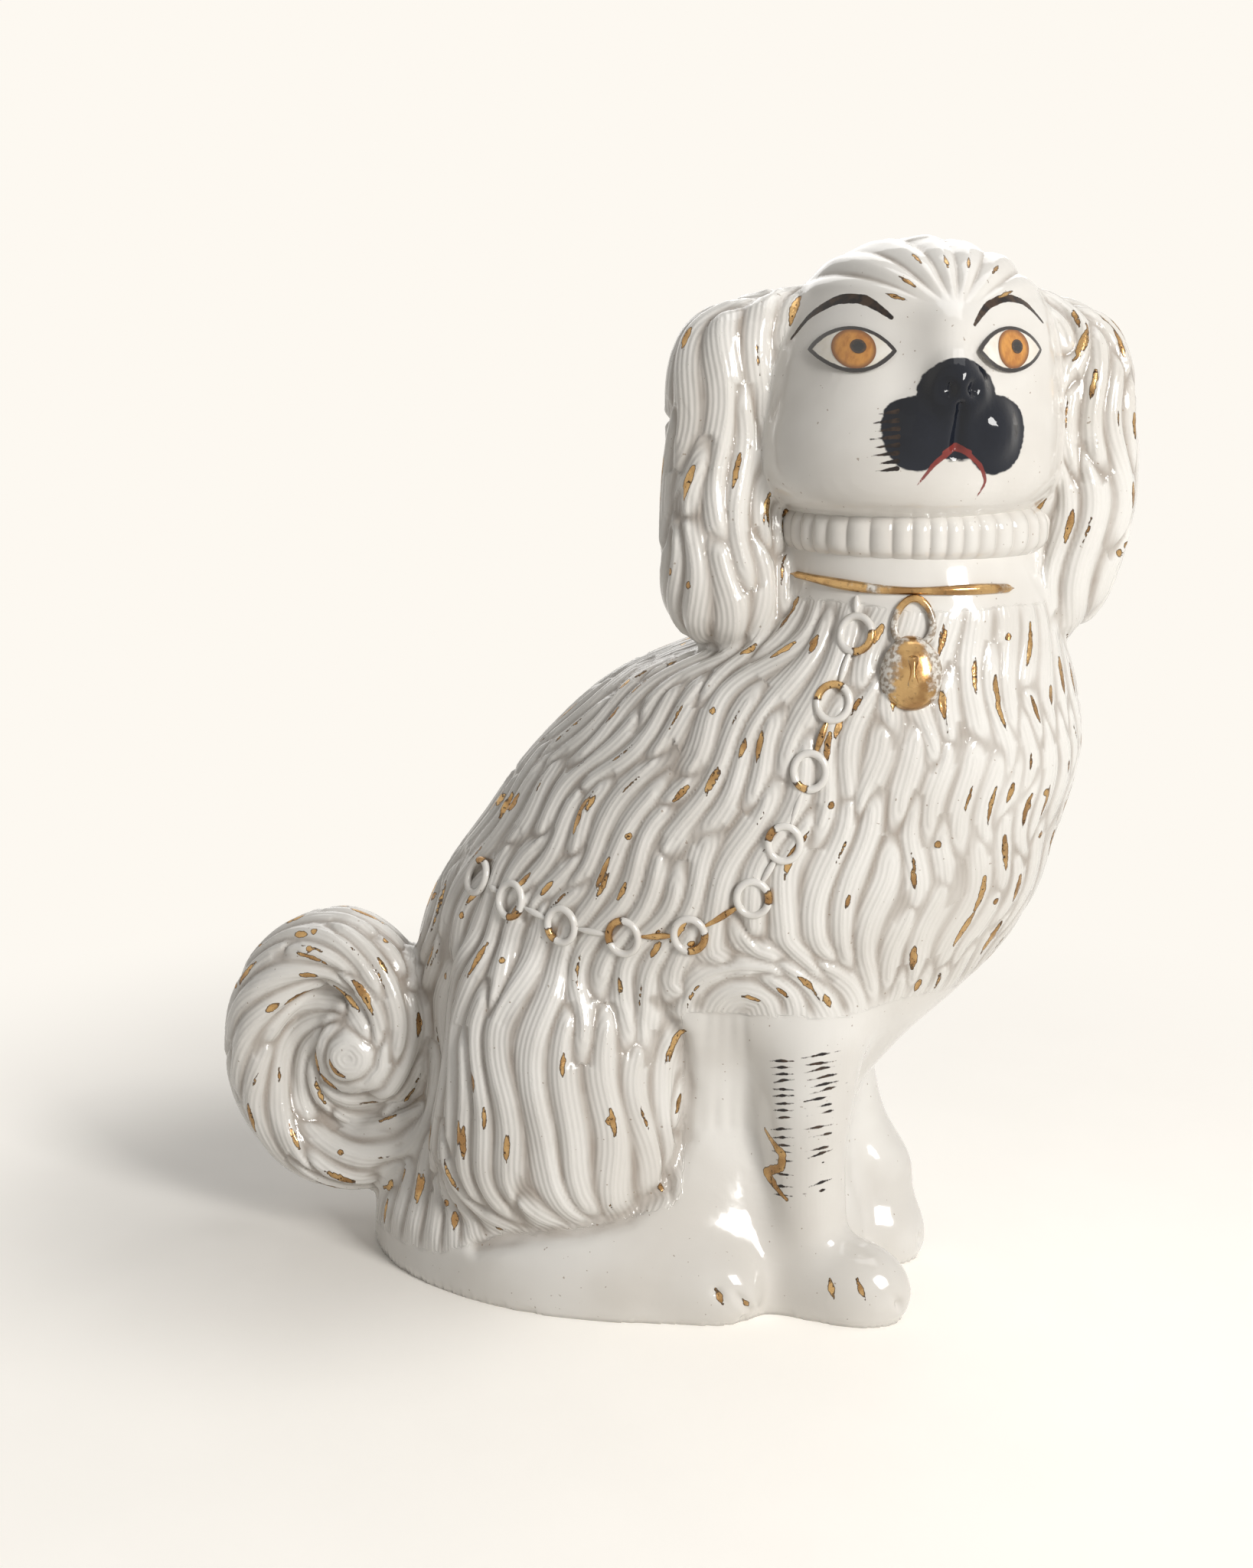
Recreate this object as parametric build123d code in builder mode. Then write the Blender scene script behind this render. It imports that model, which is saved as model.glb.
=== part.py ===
"""A press-moulded earthenware spaniel that sits upright on an oval base with its head turned to the viewer.

Millimetres. The origin is the centre of the base's underside. +Z is up, +X is the way the dog's chest faces,
-Y is the side on show. The pieces are the ones a potter presses in plaster moulds and lutes together with slip:
two body halves, two head halves, ears, legs, tail and base slab, then the sprigs, enamel and gilding on top.
"""

import os
from math import atan2, cos, degrees, radians, sin

from build123d import *

os.makedirs("parts", exist_ok=True)

# Clay
WALL = 6.0

# Oval base and the slab that closes it
BASE_LENGTH = 164.0
BASE_DEPTH = 122.0
BASE_SHIFT = -8.0
SKIRT_HEIGHT = 14.0
SLAB_THICKNESS = 6.0
VENT_RADIUS = 4.0
VENT_SHIFT = -42.0

# Body sections from the skirt up: rise over the section below, rear end, chest end, width
HIP_STEP, HIP_REAR, HIP_FRONT, HIP_WIDTH = 22.0, -84.0, 69.0, 106.0
LOIN_STEP, LOIN_REAR, LOIN_FRONT, LOIN_WIDTH = 26.0, -79.0, 73.0, 92.0
BELLY_STEP, BELLY_REAR, BELLY_FRONT, BELLY_WIDTH = 36.0, -74.0, 102.0, 102.0
FLANK_STEP, FLANK_REAR, FLANK_FRONT, FLANK_WIDTH = 34.0, -59.0, 123.0, 110.0
CHEST_STEP, CHEST_REAR, CHEST_FRONT, CHEST_WIDTH = 36.0, -30.0, 132.0, 110.0
SHOULDER_STEP, SHOULDER_REAR, SHOULDER_FRONT, SHOULDER_WIDTH = 22.0, -1.0, 131.0, 100.0

# Neck joint, where the head is luted to the body
NECK_STEP = 16.0
NECK_SHIFT = 80.0
NECK_RADIUS = 43.0

# Heights of the sections
HIP_HEIGHT = SKIRT_HEIGHT + HIP_STEP
LOIN_HEIGHT = HIP_HEIGHT + LOIN_STEP
BELLY_HEIGHT = LOIN_HEIGHT + BELLY_STEP
FLANK_HEIGHT = BELLY_HEIGHT + FLANK_STEP
CHEST_HEIGHT = FLANK_HEIGHT + CHEST_STEP
SHOULDER_HEIGHT = CHEST_HEIGHT + SHOULDER_STEP
NECK_HEIGHT = SHOULDER_HEIGHT + NECK_STEP

# Head, a turned form about the neck's axis: heights above the neck joint and radii
HEAD_TURN = 19.0
THROAT_RISE, THROAT_RADIUS = 28.0, 38.0
JAW_RISE, JAW_RADIUS = 41.0, 42.5
CHEEK_RISE, CHEEK_RADIUS = 54.0, 44.5
BROW_RISE, BROW_RADIUS = 80.0, 41.5
CROWN_RISE = 114.0
CHIN_RISE, CHIN_REACH = 47.0, 35.0
CHIN_WIDTH, CHIN_HEIGHT, CHIN_LENGTH = 30.0, 20.0, 24.0
BRIDGE_RISE, BRIDGE_REACH = 76.0, 30.0
BRIDGE_WIDTH, BRIDGE_HEIGHT, BRIDGE_LENGTH = 20.0, 30.0, 36.0

# Haunches: flattened domes on both flanks
HAUNCH_SHIFT = -22.0
HAUNCH_DROP = 4.0
HAUNCH_RADIUS = 46.0
HAUNCH_BULGE = 30.0
HAUNCH_STAND = 16.0
HAUNCH_HEIGHT = LOIN_HEIGHT - HAUNCH_DROP
HAUNCH_OUT = LOIN_WIDTH / 2 + HAUNCH_STAND - HAUNCH_BULGE

# Forelegs and paws
LEG_RADIUS = 13.0
LEG_LAP = 10.0
LEG_TOP = BELLY_HEIGHT + LEG_LAP
SHOULDER_BLADE_RADIUS = 21.0
NEAR_LEG_X, NEAR_LEG_Y = 58.0, -32.0
NEAR_LEAN_X, NEAR_LEAN_Y = -8.0, 1.0
FAR_LEG_X, FAR_LEG_Y = 69.0, 12.0
FAR_LEAN_X, FAR_LEAN_Y = -14.0, 17.0
PAW_LENGTH = 42.0
PAW_WIDTH = 28.0
PAW_HEIGHT = 20.0
NEAR_PAW_REACH = 10.0
FAR_PAW_REACH = 3.0
PAW_SPLAY = 18.0
HIND_PAW_X = 22.0
HIND_PAW_INSET = 16.0
HIND_PAW_OUT = BASE_DEPTH / 2 - HIND_PAW_INSET

# Tail curl at the rump: a tapering coil with its tip rolled into the middle
TAIL_OUT, TAIL_Y, TAIL_LIFT = 20.0, -10.0, 3.0
TAIL_COIL_RADIUS = 27.5
TAIL_STRETCH = 1.25
TAIL_THICKNESS = 26.0
TAIL_DEPTH = 40.0
TAIL_TAPER = 0.25
TAIL_ROLL = 0.12
TAIL_ROOT_ANGLE = -26.0
TAIL_SWEEP = 328.0
TAIL_SECTIONS = 9
TAIL_TIP_RADIUS = 19.0

# Ears, from the top of the lobe to its tip
EAR_TOP_RISE = 98.0
EAR_DROP = 105.0
EAR_WIDTH = 40.0
EAR_DEPTH = 34.0
NEAR_EAR_OUT, NEAR_EAR_BACK, NEAR_EAR_DRIFT = 53.5, 1.0, 0.0
FAR_EAR_OUT, FAR_EAR_BACK, FAR_EAR_DRIFT = 48.0, -5.0, 9.0

# Muzzle: snout, two flews and the nose pad
SNOUT_RISE, SNOUT_REACH = 64.0, 33.0
SNOUT_LENGTH, SNOUT_WIDTH, SNOUT_HEIGHT = 26.0, 30.0, 34.0
FLEW_RISE, FLEW_REACH = 59.0, 38.0
FLEW_SPREAD = 10.5
FLEW_RADIUS = 9.5
NOSE_RISE, NOSE_REACH = 73.0, 44.0
NOSE_WIDTH, NOSE_HEIGHT, NOSE_LENGTH = 19.0, 15.0, 14.0

# Eyes, in three coats on the face
EYE_SPREAD = 22.5
EYE_RISE = 81.0
EYE_LENGTH = 23.0
EYE_OPENING = 12.5
IRIS_RADIUS = 5.4
PUPIL_RADIUS = 1.8
EYE_RELIEF = 1.0
IRIS_COAT = 0.4
PUPIL_COAT = 0.3

# Collar: a fluted ruff at the throat and a gilt line under it
RUFF_RISE = 23.0
RUFF_HEIGHT = 12.0
RUFF_THICKNESS = 3.0
RUFF_FLUTES = 36
FLUTE_RADIUS = 1.6
LINE_RISE = 14.5
LINE_RADIUS = 1.5
LINE_ARC = 150.0

# Chain: rings and the short joins between them, laid down the chest and along the flank
RING_RADIUS = 4.4
RING_WIRE = 1.2
WIRE_LIFT = 0.4
JOIN_LENGTH = 7.0
JOIN_WIDTH = 2.6
CHAIN_TOP_X, CHAIN_TOP_Z = 69.0, NECK_HEIGHT + 2.0
CHAIN_LOW_X, CHAIN_LOW_Z = 42.5, FLANK_HEIGHT + 1.0
CHAIN_END_X, CHAIN_END_Z = -46.0, FLANK_HEIGHT - 4.0
CHAIN_SAG = 13.0
DROP_RINGS = 5
FLANK_RINGS = 5

# Padlock that hangs from the collar line
LOCK_X, LOCK_Z = 85.0, NECK_HEIGHT - 8.0
LOCK_WIDTH = 17.0
LOCK_HEIGHT = 21.0
LOCK_RELIEF = 4.0
SHACKLE_RADIUS = 5.0
SHACKLE_DEPTH = 1.5
SHACKLE_WIRE = 1.2
KEYHOLE_WIDTH = 3.4
KEYHOLE_HEIGHT = 9.0
KEYHOLE_RELIEF = 0.8

HEAD_PLANE = Plane(
    origin=(NECK_SHIFT, 0, NECK_HEIGHT),
    x_dir=(cos(radians(HEAD_TURN)), sin(radians(HEAD_TURN)), 0),
    z_dir=(0, 0, 1),
)


def body_form(inset, overrun=0):
    """The body as one smooth solid through its oval sections, drawn in by inset and run out past both ends."""
    base_rear = BASE_SHIFT - BASE_LENGTH / 2
    base_front = BASE_SHIFT + BASE_LENGTH / 2
    ovals = [
        (-overrun, base_rear, base_front, BASE_DEPTH),
        (SKIRT_HEIGHT, base_rear, base_front, BASE_DEPTH),
        (HIP_HEIGHT, HIP_REAR, HIP_FRONT, HIP_WIDTH),
        (LOIN_HEIGHT, LOIN_REAR, LOIN_FRONT, LOIN_WIDTH),
        (BELLY_HEIGHT, BELLY_REAR, BELLY_FRONT, BELLY_WIDTH),
        (FLANK_HEIGHT, FLANK_REAR, FLANK_FRONT, FLANK_WIDTH),
        (CHEST_HEIGHT, CHEST_REAR, CHEST_FRONT, CHEST_WIDTH),
        (SHOULDER_HEIGHT, SHOULDER_REAR, SHOULDER_FRONT, SHOULDER_WIDTH),
        (NECK_HEIGHT, NECK_SHIFT - NECK_RADIUS, NECK_SHIFT + NECK_RADIUS, 2 * NECK_RADIUS),
    ]
    if overrun:
        ovals.append((NECK_HEIGHT + overrun, *ovals[-1][1:]))
    with BuildPart() as form:
        for height, rear, front, width in ovals:
            with BuildSketch(Plane.XY.offset(height)):
                with Locations(((rear + front) / 2, 0)):
                    Ellipse((front - rear) / 2 - inset, width / 2 - inset)
        loft()
    return form.part


def lump(plane, length, width, height):
    """A rounded lump of clay on a plane: its full sizes along the plane's x, y and z."""
    with BuildPart() as form:
        Sphere(1)
        scale(by=(length / 2, width / 2, height / 2))
    return plane * form.part


def haunch(side, inset):
    """One haunch dome: side is -1 for the side on show and 1 for the far side."""
    plane = Plane((HAUNCH_SHIFT, side * HAUNCH_OUT, HAUNCH_HEIGHT), z_dir=(0, side, 0))
    across = 2 * (HAUNCH_RADIUS - inset)
    return lump(plane, across, across, 2 * (HAUNCH_BULGE - inset))


def head_form(grow):
    """The head and throat as one turned solid, with its outline moved out by grow."""
    with BuildPart() as form:
        with BuildSketch(Plane(HEAD_PLANE.origin, HEAD_PLANE.x_dir, -HEAD_PLANE.y_dir)):
            with BuildLine():
                outline = Spline(
                    (NECK_RADIUS + grow, 0),
                    (THROAT_RADIUS + grow, THROAT_RISE),
                    (JAW_RADIUS + grow, JAW_RISE),
                    (CHEEK_RADIUS + grow, CHEEK_RISE),
                    (BROW_RADIUS + grow, BROW_RISE),
                    tangents=[(-0.5, 1), (0, 1)],
                )
                dome = EllipticalCenterArc(
                    (0, BROW_RISE),
                    BROW_RADIUS + grow,
                    CROWN_RISE - BROW_RISE + grow,
                    start_angle=0,
                    arc_size=90,
                )
                Polyline(dome @ 1, (0, 0), outline @ 0)
            make_face()
        revolve(axis=Axis(HEAD_PLANE.origin, HEAD_PLANE.z_dir))
    return form.part


def face_plane(lateral, reach, rise):
    """A plane that looks out of the face: offset to the right as one faces it, out of the face, and up."""
    origin = HEAD_PLANE.from_local_coords(Vector(lateral, -reach, rise))
    return Plane(origin, x_dir=HEAD_PLANE.x_dir, z_dir=-HEAD_PLANE.y_dir)


def largest(shape):
    """The largest solid of a shape, which drops the slivers that a cut leaves behind."""
    return shape.solids().sort_by(SortBy.VOLUME)[-1]


def seat(x, z):
    """The plane on the show side's surface at x and z, with its z axis straight out of the surface."""
    axis = Axis((x, -BASE_LENGTH, z), (0, 1, 0))
    hits = [hit for face in figure_solid.faces() for hit in face.find_intersection_points(axis)]
    point, normal = min(hits, key=lambda hit: hit[0].Y)
    return Plane(point, x_dir=Vector(0, 0, 1).cross(normal), z_dir=normal)


def write(piece, label):
    """Names a finished piece and writes it as a STEP file."""
    piece.label = label
    export_step(piece, f"parts/{label}.step")


# Body halves: a hollow shell, parted along the mould seam on the XZ plane
body_solid = body_form(0) + haunch(-1, 0) + haunch(1, 0)
body_cavity = body_form(WALL, WALL) + haunch(-1, WALL) + haunch(1, WALL)

with BuildPart() as body_near_half:
    add(body_solid)
    add(body_cavity, mode=Mode.SUBTRACT)
    split(bisect_by=Plane.XZ, keep=Keep.TOP)
write(body_near_half.part, "body_near_half")

with BuildPart() as body_far_half:
    add(body_solid)
    add(body_cavity, mode=Mode.SUBTRACT)
    split(bisect_by=Plane.XZ, keep=Keep.BOTTOM)
write(body_far_half.part, "body_far_half")

# Base slab inside the skirt, with the vent that lets steam out in the kiln
with BuildPart() as base_slab:
    add(body_cavity)
    split(bisect_by=Plane.XY, keep=Keep.TOP)
    split(bisect_by=Plane.XY.offset(SLAB_THICKNESS), keep=Keep.BOTTOM)
    with Locations((BASE_SHIFT + VENT_SHIFT, 0, SLAB_THICKNESS)):
        Hole(VENT_RADIUS)
write(base_slab.part, "base_slab")

# Head halves: a hollow turned form with the chin and the bridge of the nose on its front half
CORONAL_PLANE = Plane(HEAD_PLANE.origin, x_dir=HEAD_PLANE.x_dir, z_dir=-HEAD_PLANE.y_dir)
chin = lump(face_plane(0, CHIN_REACH, CHIN_RISE), CHIN_WIDTH, CHIN_HEIGHT, CHIN_LENGTH)
bridge = lump(face_plane(0, BRIDGE_REACH, BRIDGE_RISE), BRIDGE_WIDTH, BRIDGE_HEIGHT, BRIDGE_LENGTH)
head_solid = head_form(0) + chin + bridge
figure_solid = body_solid + head_solid

with BuildPart() as head_front:
    add(head_solid)
    add(head_form(-WALL), mode=Mode.SUBTRACT)
    split(bisect_by=CORONAL_PLANE, keep=Keep.TOP)
write(head_front.part, "head_front")

with BuildPart() as head_back:
    add(head_solid)
    add(head_form(-WALL), mode=Mode.SUBTRACT)
    split(bisect_by=CORONAL_PLANE, keep=Keep.BOTTOM)
write(head_back.part, "head_back")


# Ears: flat lobes that hang from the sides of the head to the shoulders
def ear(out, back, drift):
    """One ear, cut to the head and shoulder it is luted to: its place beside and behind the neck's axis, and how
    far its tip hangs in towards the neck."""
    lobes = [
        (0.00, 0.74, 0.20),
        (0.06, 0.83, 0.68),
        (0.20, 0.96, 0.92),
        (0.45, 1.02, 0.96),
        (0.70, 1.02, 1.00),
        (0.88, 1.00, 0.85),
        (1.00, 0.98, 0.25),
    ]
    with BuildPart() as form:
        for fall, spread, size in lobes:
            with BuildSketch(HEAD_PLANE.offset(EAR_TOP_RISE - fall * EAR_DROP)):
                with Locations((spread * out - fall**2 * drift, back)):
                    Ellipse(size * EAR_WIDTH / 2, size * EAR_DEPTH / 2)
        loft()
        add(figure_solid, mode=Mode.SUBTRACT)
    return largest(form.part)


near_ear = ear(-NEAR_EAR_OUT, NEAR_EAR_BACK, -NEAR_EAR_DRIFT)
far_ear = ear(FAR_EAR_OUT, FAR_EAR_BACK, FAR_EAR_DRIFT)
write(near_ear, "near_ear")
write(far_ear, "far_ear")


# Forelegs and paws
def paw(x, y, side):
    """A paw that rests on the ground plane and points forward and a little out."""
    toes = Vector(cos(radians(PAW_SPLAY)), side * sin(radians(PAW_SPLAY)), 0)
    pad = Plane((x, y, PAW_HEIGHT / 4), x_dir=toes, z_dir=(0, 0, 1))
    return lump(pad, PAW_LENGTH, PAW_WIDTH, PAW_HEIGHT * 3 / 2)


def foreleg(x, y, lean_x, lean_y, foot):
    """One foreleg with its paw, cut to the chest it is luted to: its foot's place and how far its top leans from it."""
    sections = [
        (0, LEG_RADIUS),
        (LEG_TOP * 0.25, LEG_RADIUS * 0.95),
        (LEG_TOP * 0.50, LEG_RADIUS),
        (LEG_TOP * 0.75, (LEG_RADIUS + SHOULDER_BLADE_RADIUS) / 2),
        (LEG_TOP, SHOULDER_BLADE_RADIUS),
    ]
    with BuildPart() as form:
        for height, radius in sections:
            with BuildSketch(Plane.XY.offset(height)):
                with Locations((x + lean_x * height / LEG_TOP, y + lean_y * height / LEG_TOP)):
                    Ellipse(radius, LEG_RADIUS)
        loft()
        add(foot)
        split(bisect_by=Plane.XY, keep=Keep.TOP)
        add(body_solid, mode=Mode.SUBTRACT)
    return largest(form.part)


near_paw = paw(NEAR_LEG_X + NEAR_PAW_REACH, NEAR_LEG_Y, -1)
far_paw = paw(FAR_LEG_X + FAR_PAW_REACH, FAR_LEG_Y, 1)
near_foreleg = foreleg(NEAR_LEG_X, NEAR_LEG_Y, NEAR_LEAN_X, NEAR_LEAN_Y, near_paw)
far_foreleg = foreleg(FAR_LEG_X, FAR_LEG_Y, FAR_LEAN_X, FAR_LEAN_Y, far_paw)
write(near_foreleg, "near_foreleg")
write(far_foreleg, "far_foreleg")


def hind_paw(side, foreleg_piece):
    """One hind paw, cut to the haunch it comes out of and kept clear of the foreleg."""
    foot = paw(HIND_PAW_X, side * HIND_PAW_OUT, side)
    with BuildPart() as form:
        add(foot)
        split(bisect_by=Plane.XY, keep=Keep.TOP)
        add(body_solid, mode=Mode.SUBTRACT)
        add(foreleg_piece, mode=Mode.SUBTRACT)
    return largest(form.part)


write(hind_paw(-1, near_foreleg), "near_hind_paw")
write(hind_paw(1, far_foreleg), "far_hind_paw")

# Tail: a coil that leaves the rump low down, climbs round the outside and rolls in to the middle
TAIL_CENTRE = Vector(LOIN_REAR - TAIL_OUT, TAIL_Y, LOIN_HEIGHT + TAIL_LIFT)
tail_tip = lump(
    Plane(TAIL_CENTRE, x_dir=(1, 0, 0), z_dir=(0, -1, 0)),
    2 * TAIL_TIP_RADIUS,
    2 * TAIL_TIP_RADIUS * TAIL_STRETCH,
    TAIL_DEPTH,
)
with BuildPart() as tail_curl:
    for step in range(TAIL_SECTIONS):
        along = step / (TAIL_SECTIONS - 1)
        angle = radians(TAIL_ROOT_ANGLE - TAIL_SWEEP * along)
        reach = TAIL_COIL_RADIUS * (1 - TAIL_ROLL * along)
        size = 1 - TAIL_TAPER * along
        spoke = Vector(reach * cos(angle), 0, reach * TAIL_STRETCH * sin(angle))
        travel = Vector(sin(angle), 0, -TAIL_STRETCH * cos(angle))
        with BuildSketch(Plane(TAIL_CENTRE + spoke, x_dir=(0, 1, 0), z_dir=travel)):
            Ellipse(size * TAIL_DEPTH / 2, size * TAIL_THICKNESS / 2)
    loft()
    add(tail_tip)
    add(body_solid, mode=Mode.SUBTRACT)
write(largest(tail_curl.part), "tail_curl")

# Muzzle: black snout and flews in front of the face, and the nose pad on top
snout = lump(face_plane(0, SNOUT_REACH, SNOUT_RISE), SNOUT_WIDTH, SNOUT_HEIGHT, SNOUT_LENGTH)
flews = [
    lump(face_plane(side * FLEW_SPREAD, FLEW_REACH, FLEW_RISE), 2 * FLEW_RADIUS, 2 * FLEW_RADIUS, 2 * FLEW_RADIUS)
    for side in (-1, 1)
]
with BuildPart() as muzzle:
    add(snout)
    add(flews)
    add(head_solid, mode=Mode.SUBTRACT)
write(largest(muzzle.part), "muzzle")

nose = lump(face_plane(0, NOSE_REACH, NOSE_RISE), NOSE_WIDTH, NOSE_HEIGHT, NOSE_LENGTH)
with BuildPart() as nose_pad:
    add(nose)
    add(head_solid, mode=Mode.SUBTRACT)
    add(muzzle.part, mode=Mode.SUBTRACT)
write(largest(nose_pad.part), "nose_pad")

# Eyes: an almond in relief, with the iris and pupil as enamel coats on it
with BuildSketch() as eye_almond:
    with BuildLine():
        upper_lid = ThreePointArc((-EYE_LENGTH / 2, 0), (0, EYE_OPENING / 2), (EYE_LENGTH / 2, 0))
        ThreePointArc(upper_lid @ 1, (0, -EYE_OPENING / 2), upper_lid @ 0)
    make_face()
with BuildSketch() as iris_round:
    Circle(IRIS_RADIUS)
with BuildSketch() as pupil_round:
    Circle(PUPIL_RADIUS)

FACE_SKIN = head_form(0)
EYE_SKIN = head_form(EYE_RELIEF)
IRIS_SKIN = head_form(EYE_RELIEF + IRIS_COAT)
PUPIL_SKIN = head_form(EYE_RELIEF + IRIS_COAT + PUPIL_COAT)
for side, name in ((-1, "near"), (1, "far")):
    for coat, outline, skin, under in (
        ("eye", eye_almond.sketch, EYE_SKIN, FACE_SKIN),
        ("iris", iris_round.sketch, IRIS_SKIN, EYE_SKIN),
        ("pupil", pupil_round.sketch, PUPIL_SKIN, IRIS_SKIN),
    ):
        with BuildPart() as layer:
            with BuildSketch(face_plane(side * EYE_SPREAD, 0, EYE_RISE)):
                add(outline)
            extrude(amount=2 * NECK_RADIUS)
            add(skin, mode=Mode.INTERSECT)
            add(under, mode=Mode.SUBTRACT)
        write(largest(layer.part), f"{name}_{coat}")

# Collar: the ruff stands round the front of the throat, from ear to ear
with BuildPart() as collar_ruff:
    with BuildSketch(HEAD_PLANE.offset(RUFF_RISE)):
        Circle(THROAT_RADIUS + RUFF_THICKNESS)
        with PolarLocations(THROAT_RADIUS + RUFF_THICKNESS, RUFF_FLUTES):
            Circle(FLUTE_RADIUS, mode=Mode.SUBTRACT)
    extrude(amount=RUFF_HEIGHT)
    split(bisect_by=CORONAL_PLANE, keep=Keep.TOP)
    add(head_solid, mode=Mode.SUBTRACT)
    add(near_ear, mode=Mode.SUBTRACT)
    add(far_ear, mode=Mode.SUBTRACT)
write(largest(collar_ruff.part), "collar_ruff")

# Gilt line, a half-round bead on the throat under the ruff
line_reach = -seat(NECK_SHIFT, NECK_HEIGHT + LINE_RISE).origin.Y
line_start = radians(HEAD_TURN - 90 - LINE_ARC / 2)
line_spoke = Vector(cos(line_start), sin(line_start), 0)
with BuildPart() as collar_line:
    with BuildSketch(Plane(HEAD_PLANE.origin, x_dir=line_spoke, z_dir=line_spoke.cross(HEAD_PLANE.z_dir))):
        with Locations((line_reach, LINE_RISE)):
            Circle(LINE_RADIUS)
    revolve(axis=Axis(HEAD_PLANE.origin, HEAD_PLANE.z_dir), revolution_arc=LINE_ARC)
    add(head_solid, mode=Mode.SUBTRACT)
    add(near_ear, mode=Mode.SUBTRACT)
    add(far_ear, mode=Mode.SUBTRACT)
write(largest(collar_line.part), "collar_line")


# Chain
def chain_path():
    """The x and z of each ring, from under the collar down the chest and then back along the flank."""
    points = []
    for step in range(DROP_RINGS):
        along = step / (DROP_RINGS - 1)
        x = CHAIN_TOP_X + along * (CHAIN_LOW_X - CHAIN_TOP_X)
        z = CHAIN_TOP_Z + along * (CHAIN_LOW_Z - CHAIN_TOP_Z)
        points.append((x, z))
    for step in range(1, FLANK_RINGS + 1):
        along = step / FLANK_RINGS
        x = CHAIN_LOW_X + along * (CHAIN_END_X - CHAIN_LOW_X)
        z = CHAIN_LOW_Z + along * (CHAIN_END_Z - CHAIN_LOW_Z) - 4 * along * (1 - along) * CHAIN_SAG
        points.append((x, z))
    return points


def sprig(shape, *neighbours):
    """A small relief, cut to the body and throat it is pressed on and to its neighbours."""
    with BuildPart() as form:
        add(shape)
        for solid in (figure_solid, *neighbours):
            add(solid, mode=Mode.SUBTRACT)
    return largest(form.part)


def wire_ring(plane, radius, wire):
    """A ring of round wire that lies on a plane."""
    with BuildPart(plane.offset(WIRE_LIFT)) as form:
        Torus(radius, wire)
    return form.part


ring_places = chain_path()
rings = [sprig(wire_ring(seat(x, z), RING_RADIUS, RING_WIRE)) for x, z in ring_places]
with BuildPart() as chain_rings:
    add(rings)
write(chain_rings.part, "chain_rings")

joins = []
upper, (upper_x, upper_z) = collar_line.part, (CHAIN_TOP_X, NECK_HEIGHT + LINE_RISE - LINE_RADIUS)
for ring, (ring_x, ring_z) in zip(rings, ring_places):
    slope = degrees(atan2(ring_z - upper_z, ring_x - upper_x))
    lie = seat((upper_x + ring_x) / 2, (upper_z + ring_z) / 2).rotated((0, 0, slope))
    joins.append(sprig(lump(lie, JOIN_LENGTH, JOIN_WIDTH, JOIN_WIDTH), upper, ring))
    upper, (upper_x, upper_z) = ring, (ring_x, ring_z)
with BuildPart() as chain_joins:
    add(joins)
write(chain_joins.part, "chain_joins")

# Padlock: a half egg in relief with a raised keyhole, hung from the collar line by its shackle
lock_plane = seat(LOCK_X, LOCK_Z)
lock_egg = lump(lock_plane, LOCK_WIDTH, LOCK_HEIGHT, 2 * LOCK_RELIEF)
padlock_body = sprig(lock_egg)
write(padlock_body, "padlock_body")

shackle_plane = seat(LOCK_X, LOCK_Z + LOCK_HEIGHT / 2 + SHACKLE_RADIUS - SHACKLE_DEPTH)
padlock_shackle = sprig(wire_ring(shackle_plane, SHACKLE_RADIUS, SHACKLE_WIRE), lock_egg, collar_line.part)
write(padlock_shackle, "padlock_shackle")

keyhole_skin = lump(
    lock_plane,
    LOCK_WIDTH + 2 * KEYHOLE_RELIEF,
    LOCK_HEIGHT + 2 * KEYHOLE_RELIEF,
    2 * (LOCK_RELIEF + KEYHOLE_RELIEF),
)
with BuildPart() as padlock_keyhole:
    with BuildSketch(lock_plane):
        Rectangle(KEYHOLE_WIDTH / 2, KEYHOLE_HEIGHT / 2)
        with Locations((0, KEYHOLE_HEIGHT / 4), (0, -KEYHOLE_HEIGHT / 4)):
            Circle(KEYHOLE_WIDTH / 2)
    extrude(amount=2 * LOCK_RELIEF)
    add(keyhole_skin, mode=Mode.INTERSECT)
    add(lock_egg, mode=Mode.SUBTRACT)
write(largest(padlock_keyhole.part), "padlock_keyhole")
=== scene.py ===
"""Glazed earthenware spaniel: the moulded, glazed and gilded skin over the clay pieces of the frame."""

import itertools
import math
from collections import namedtuple

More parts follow.
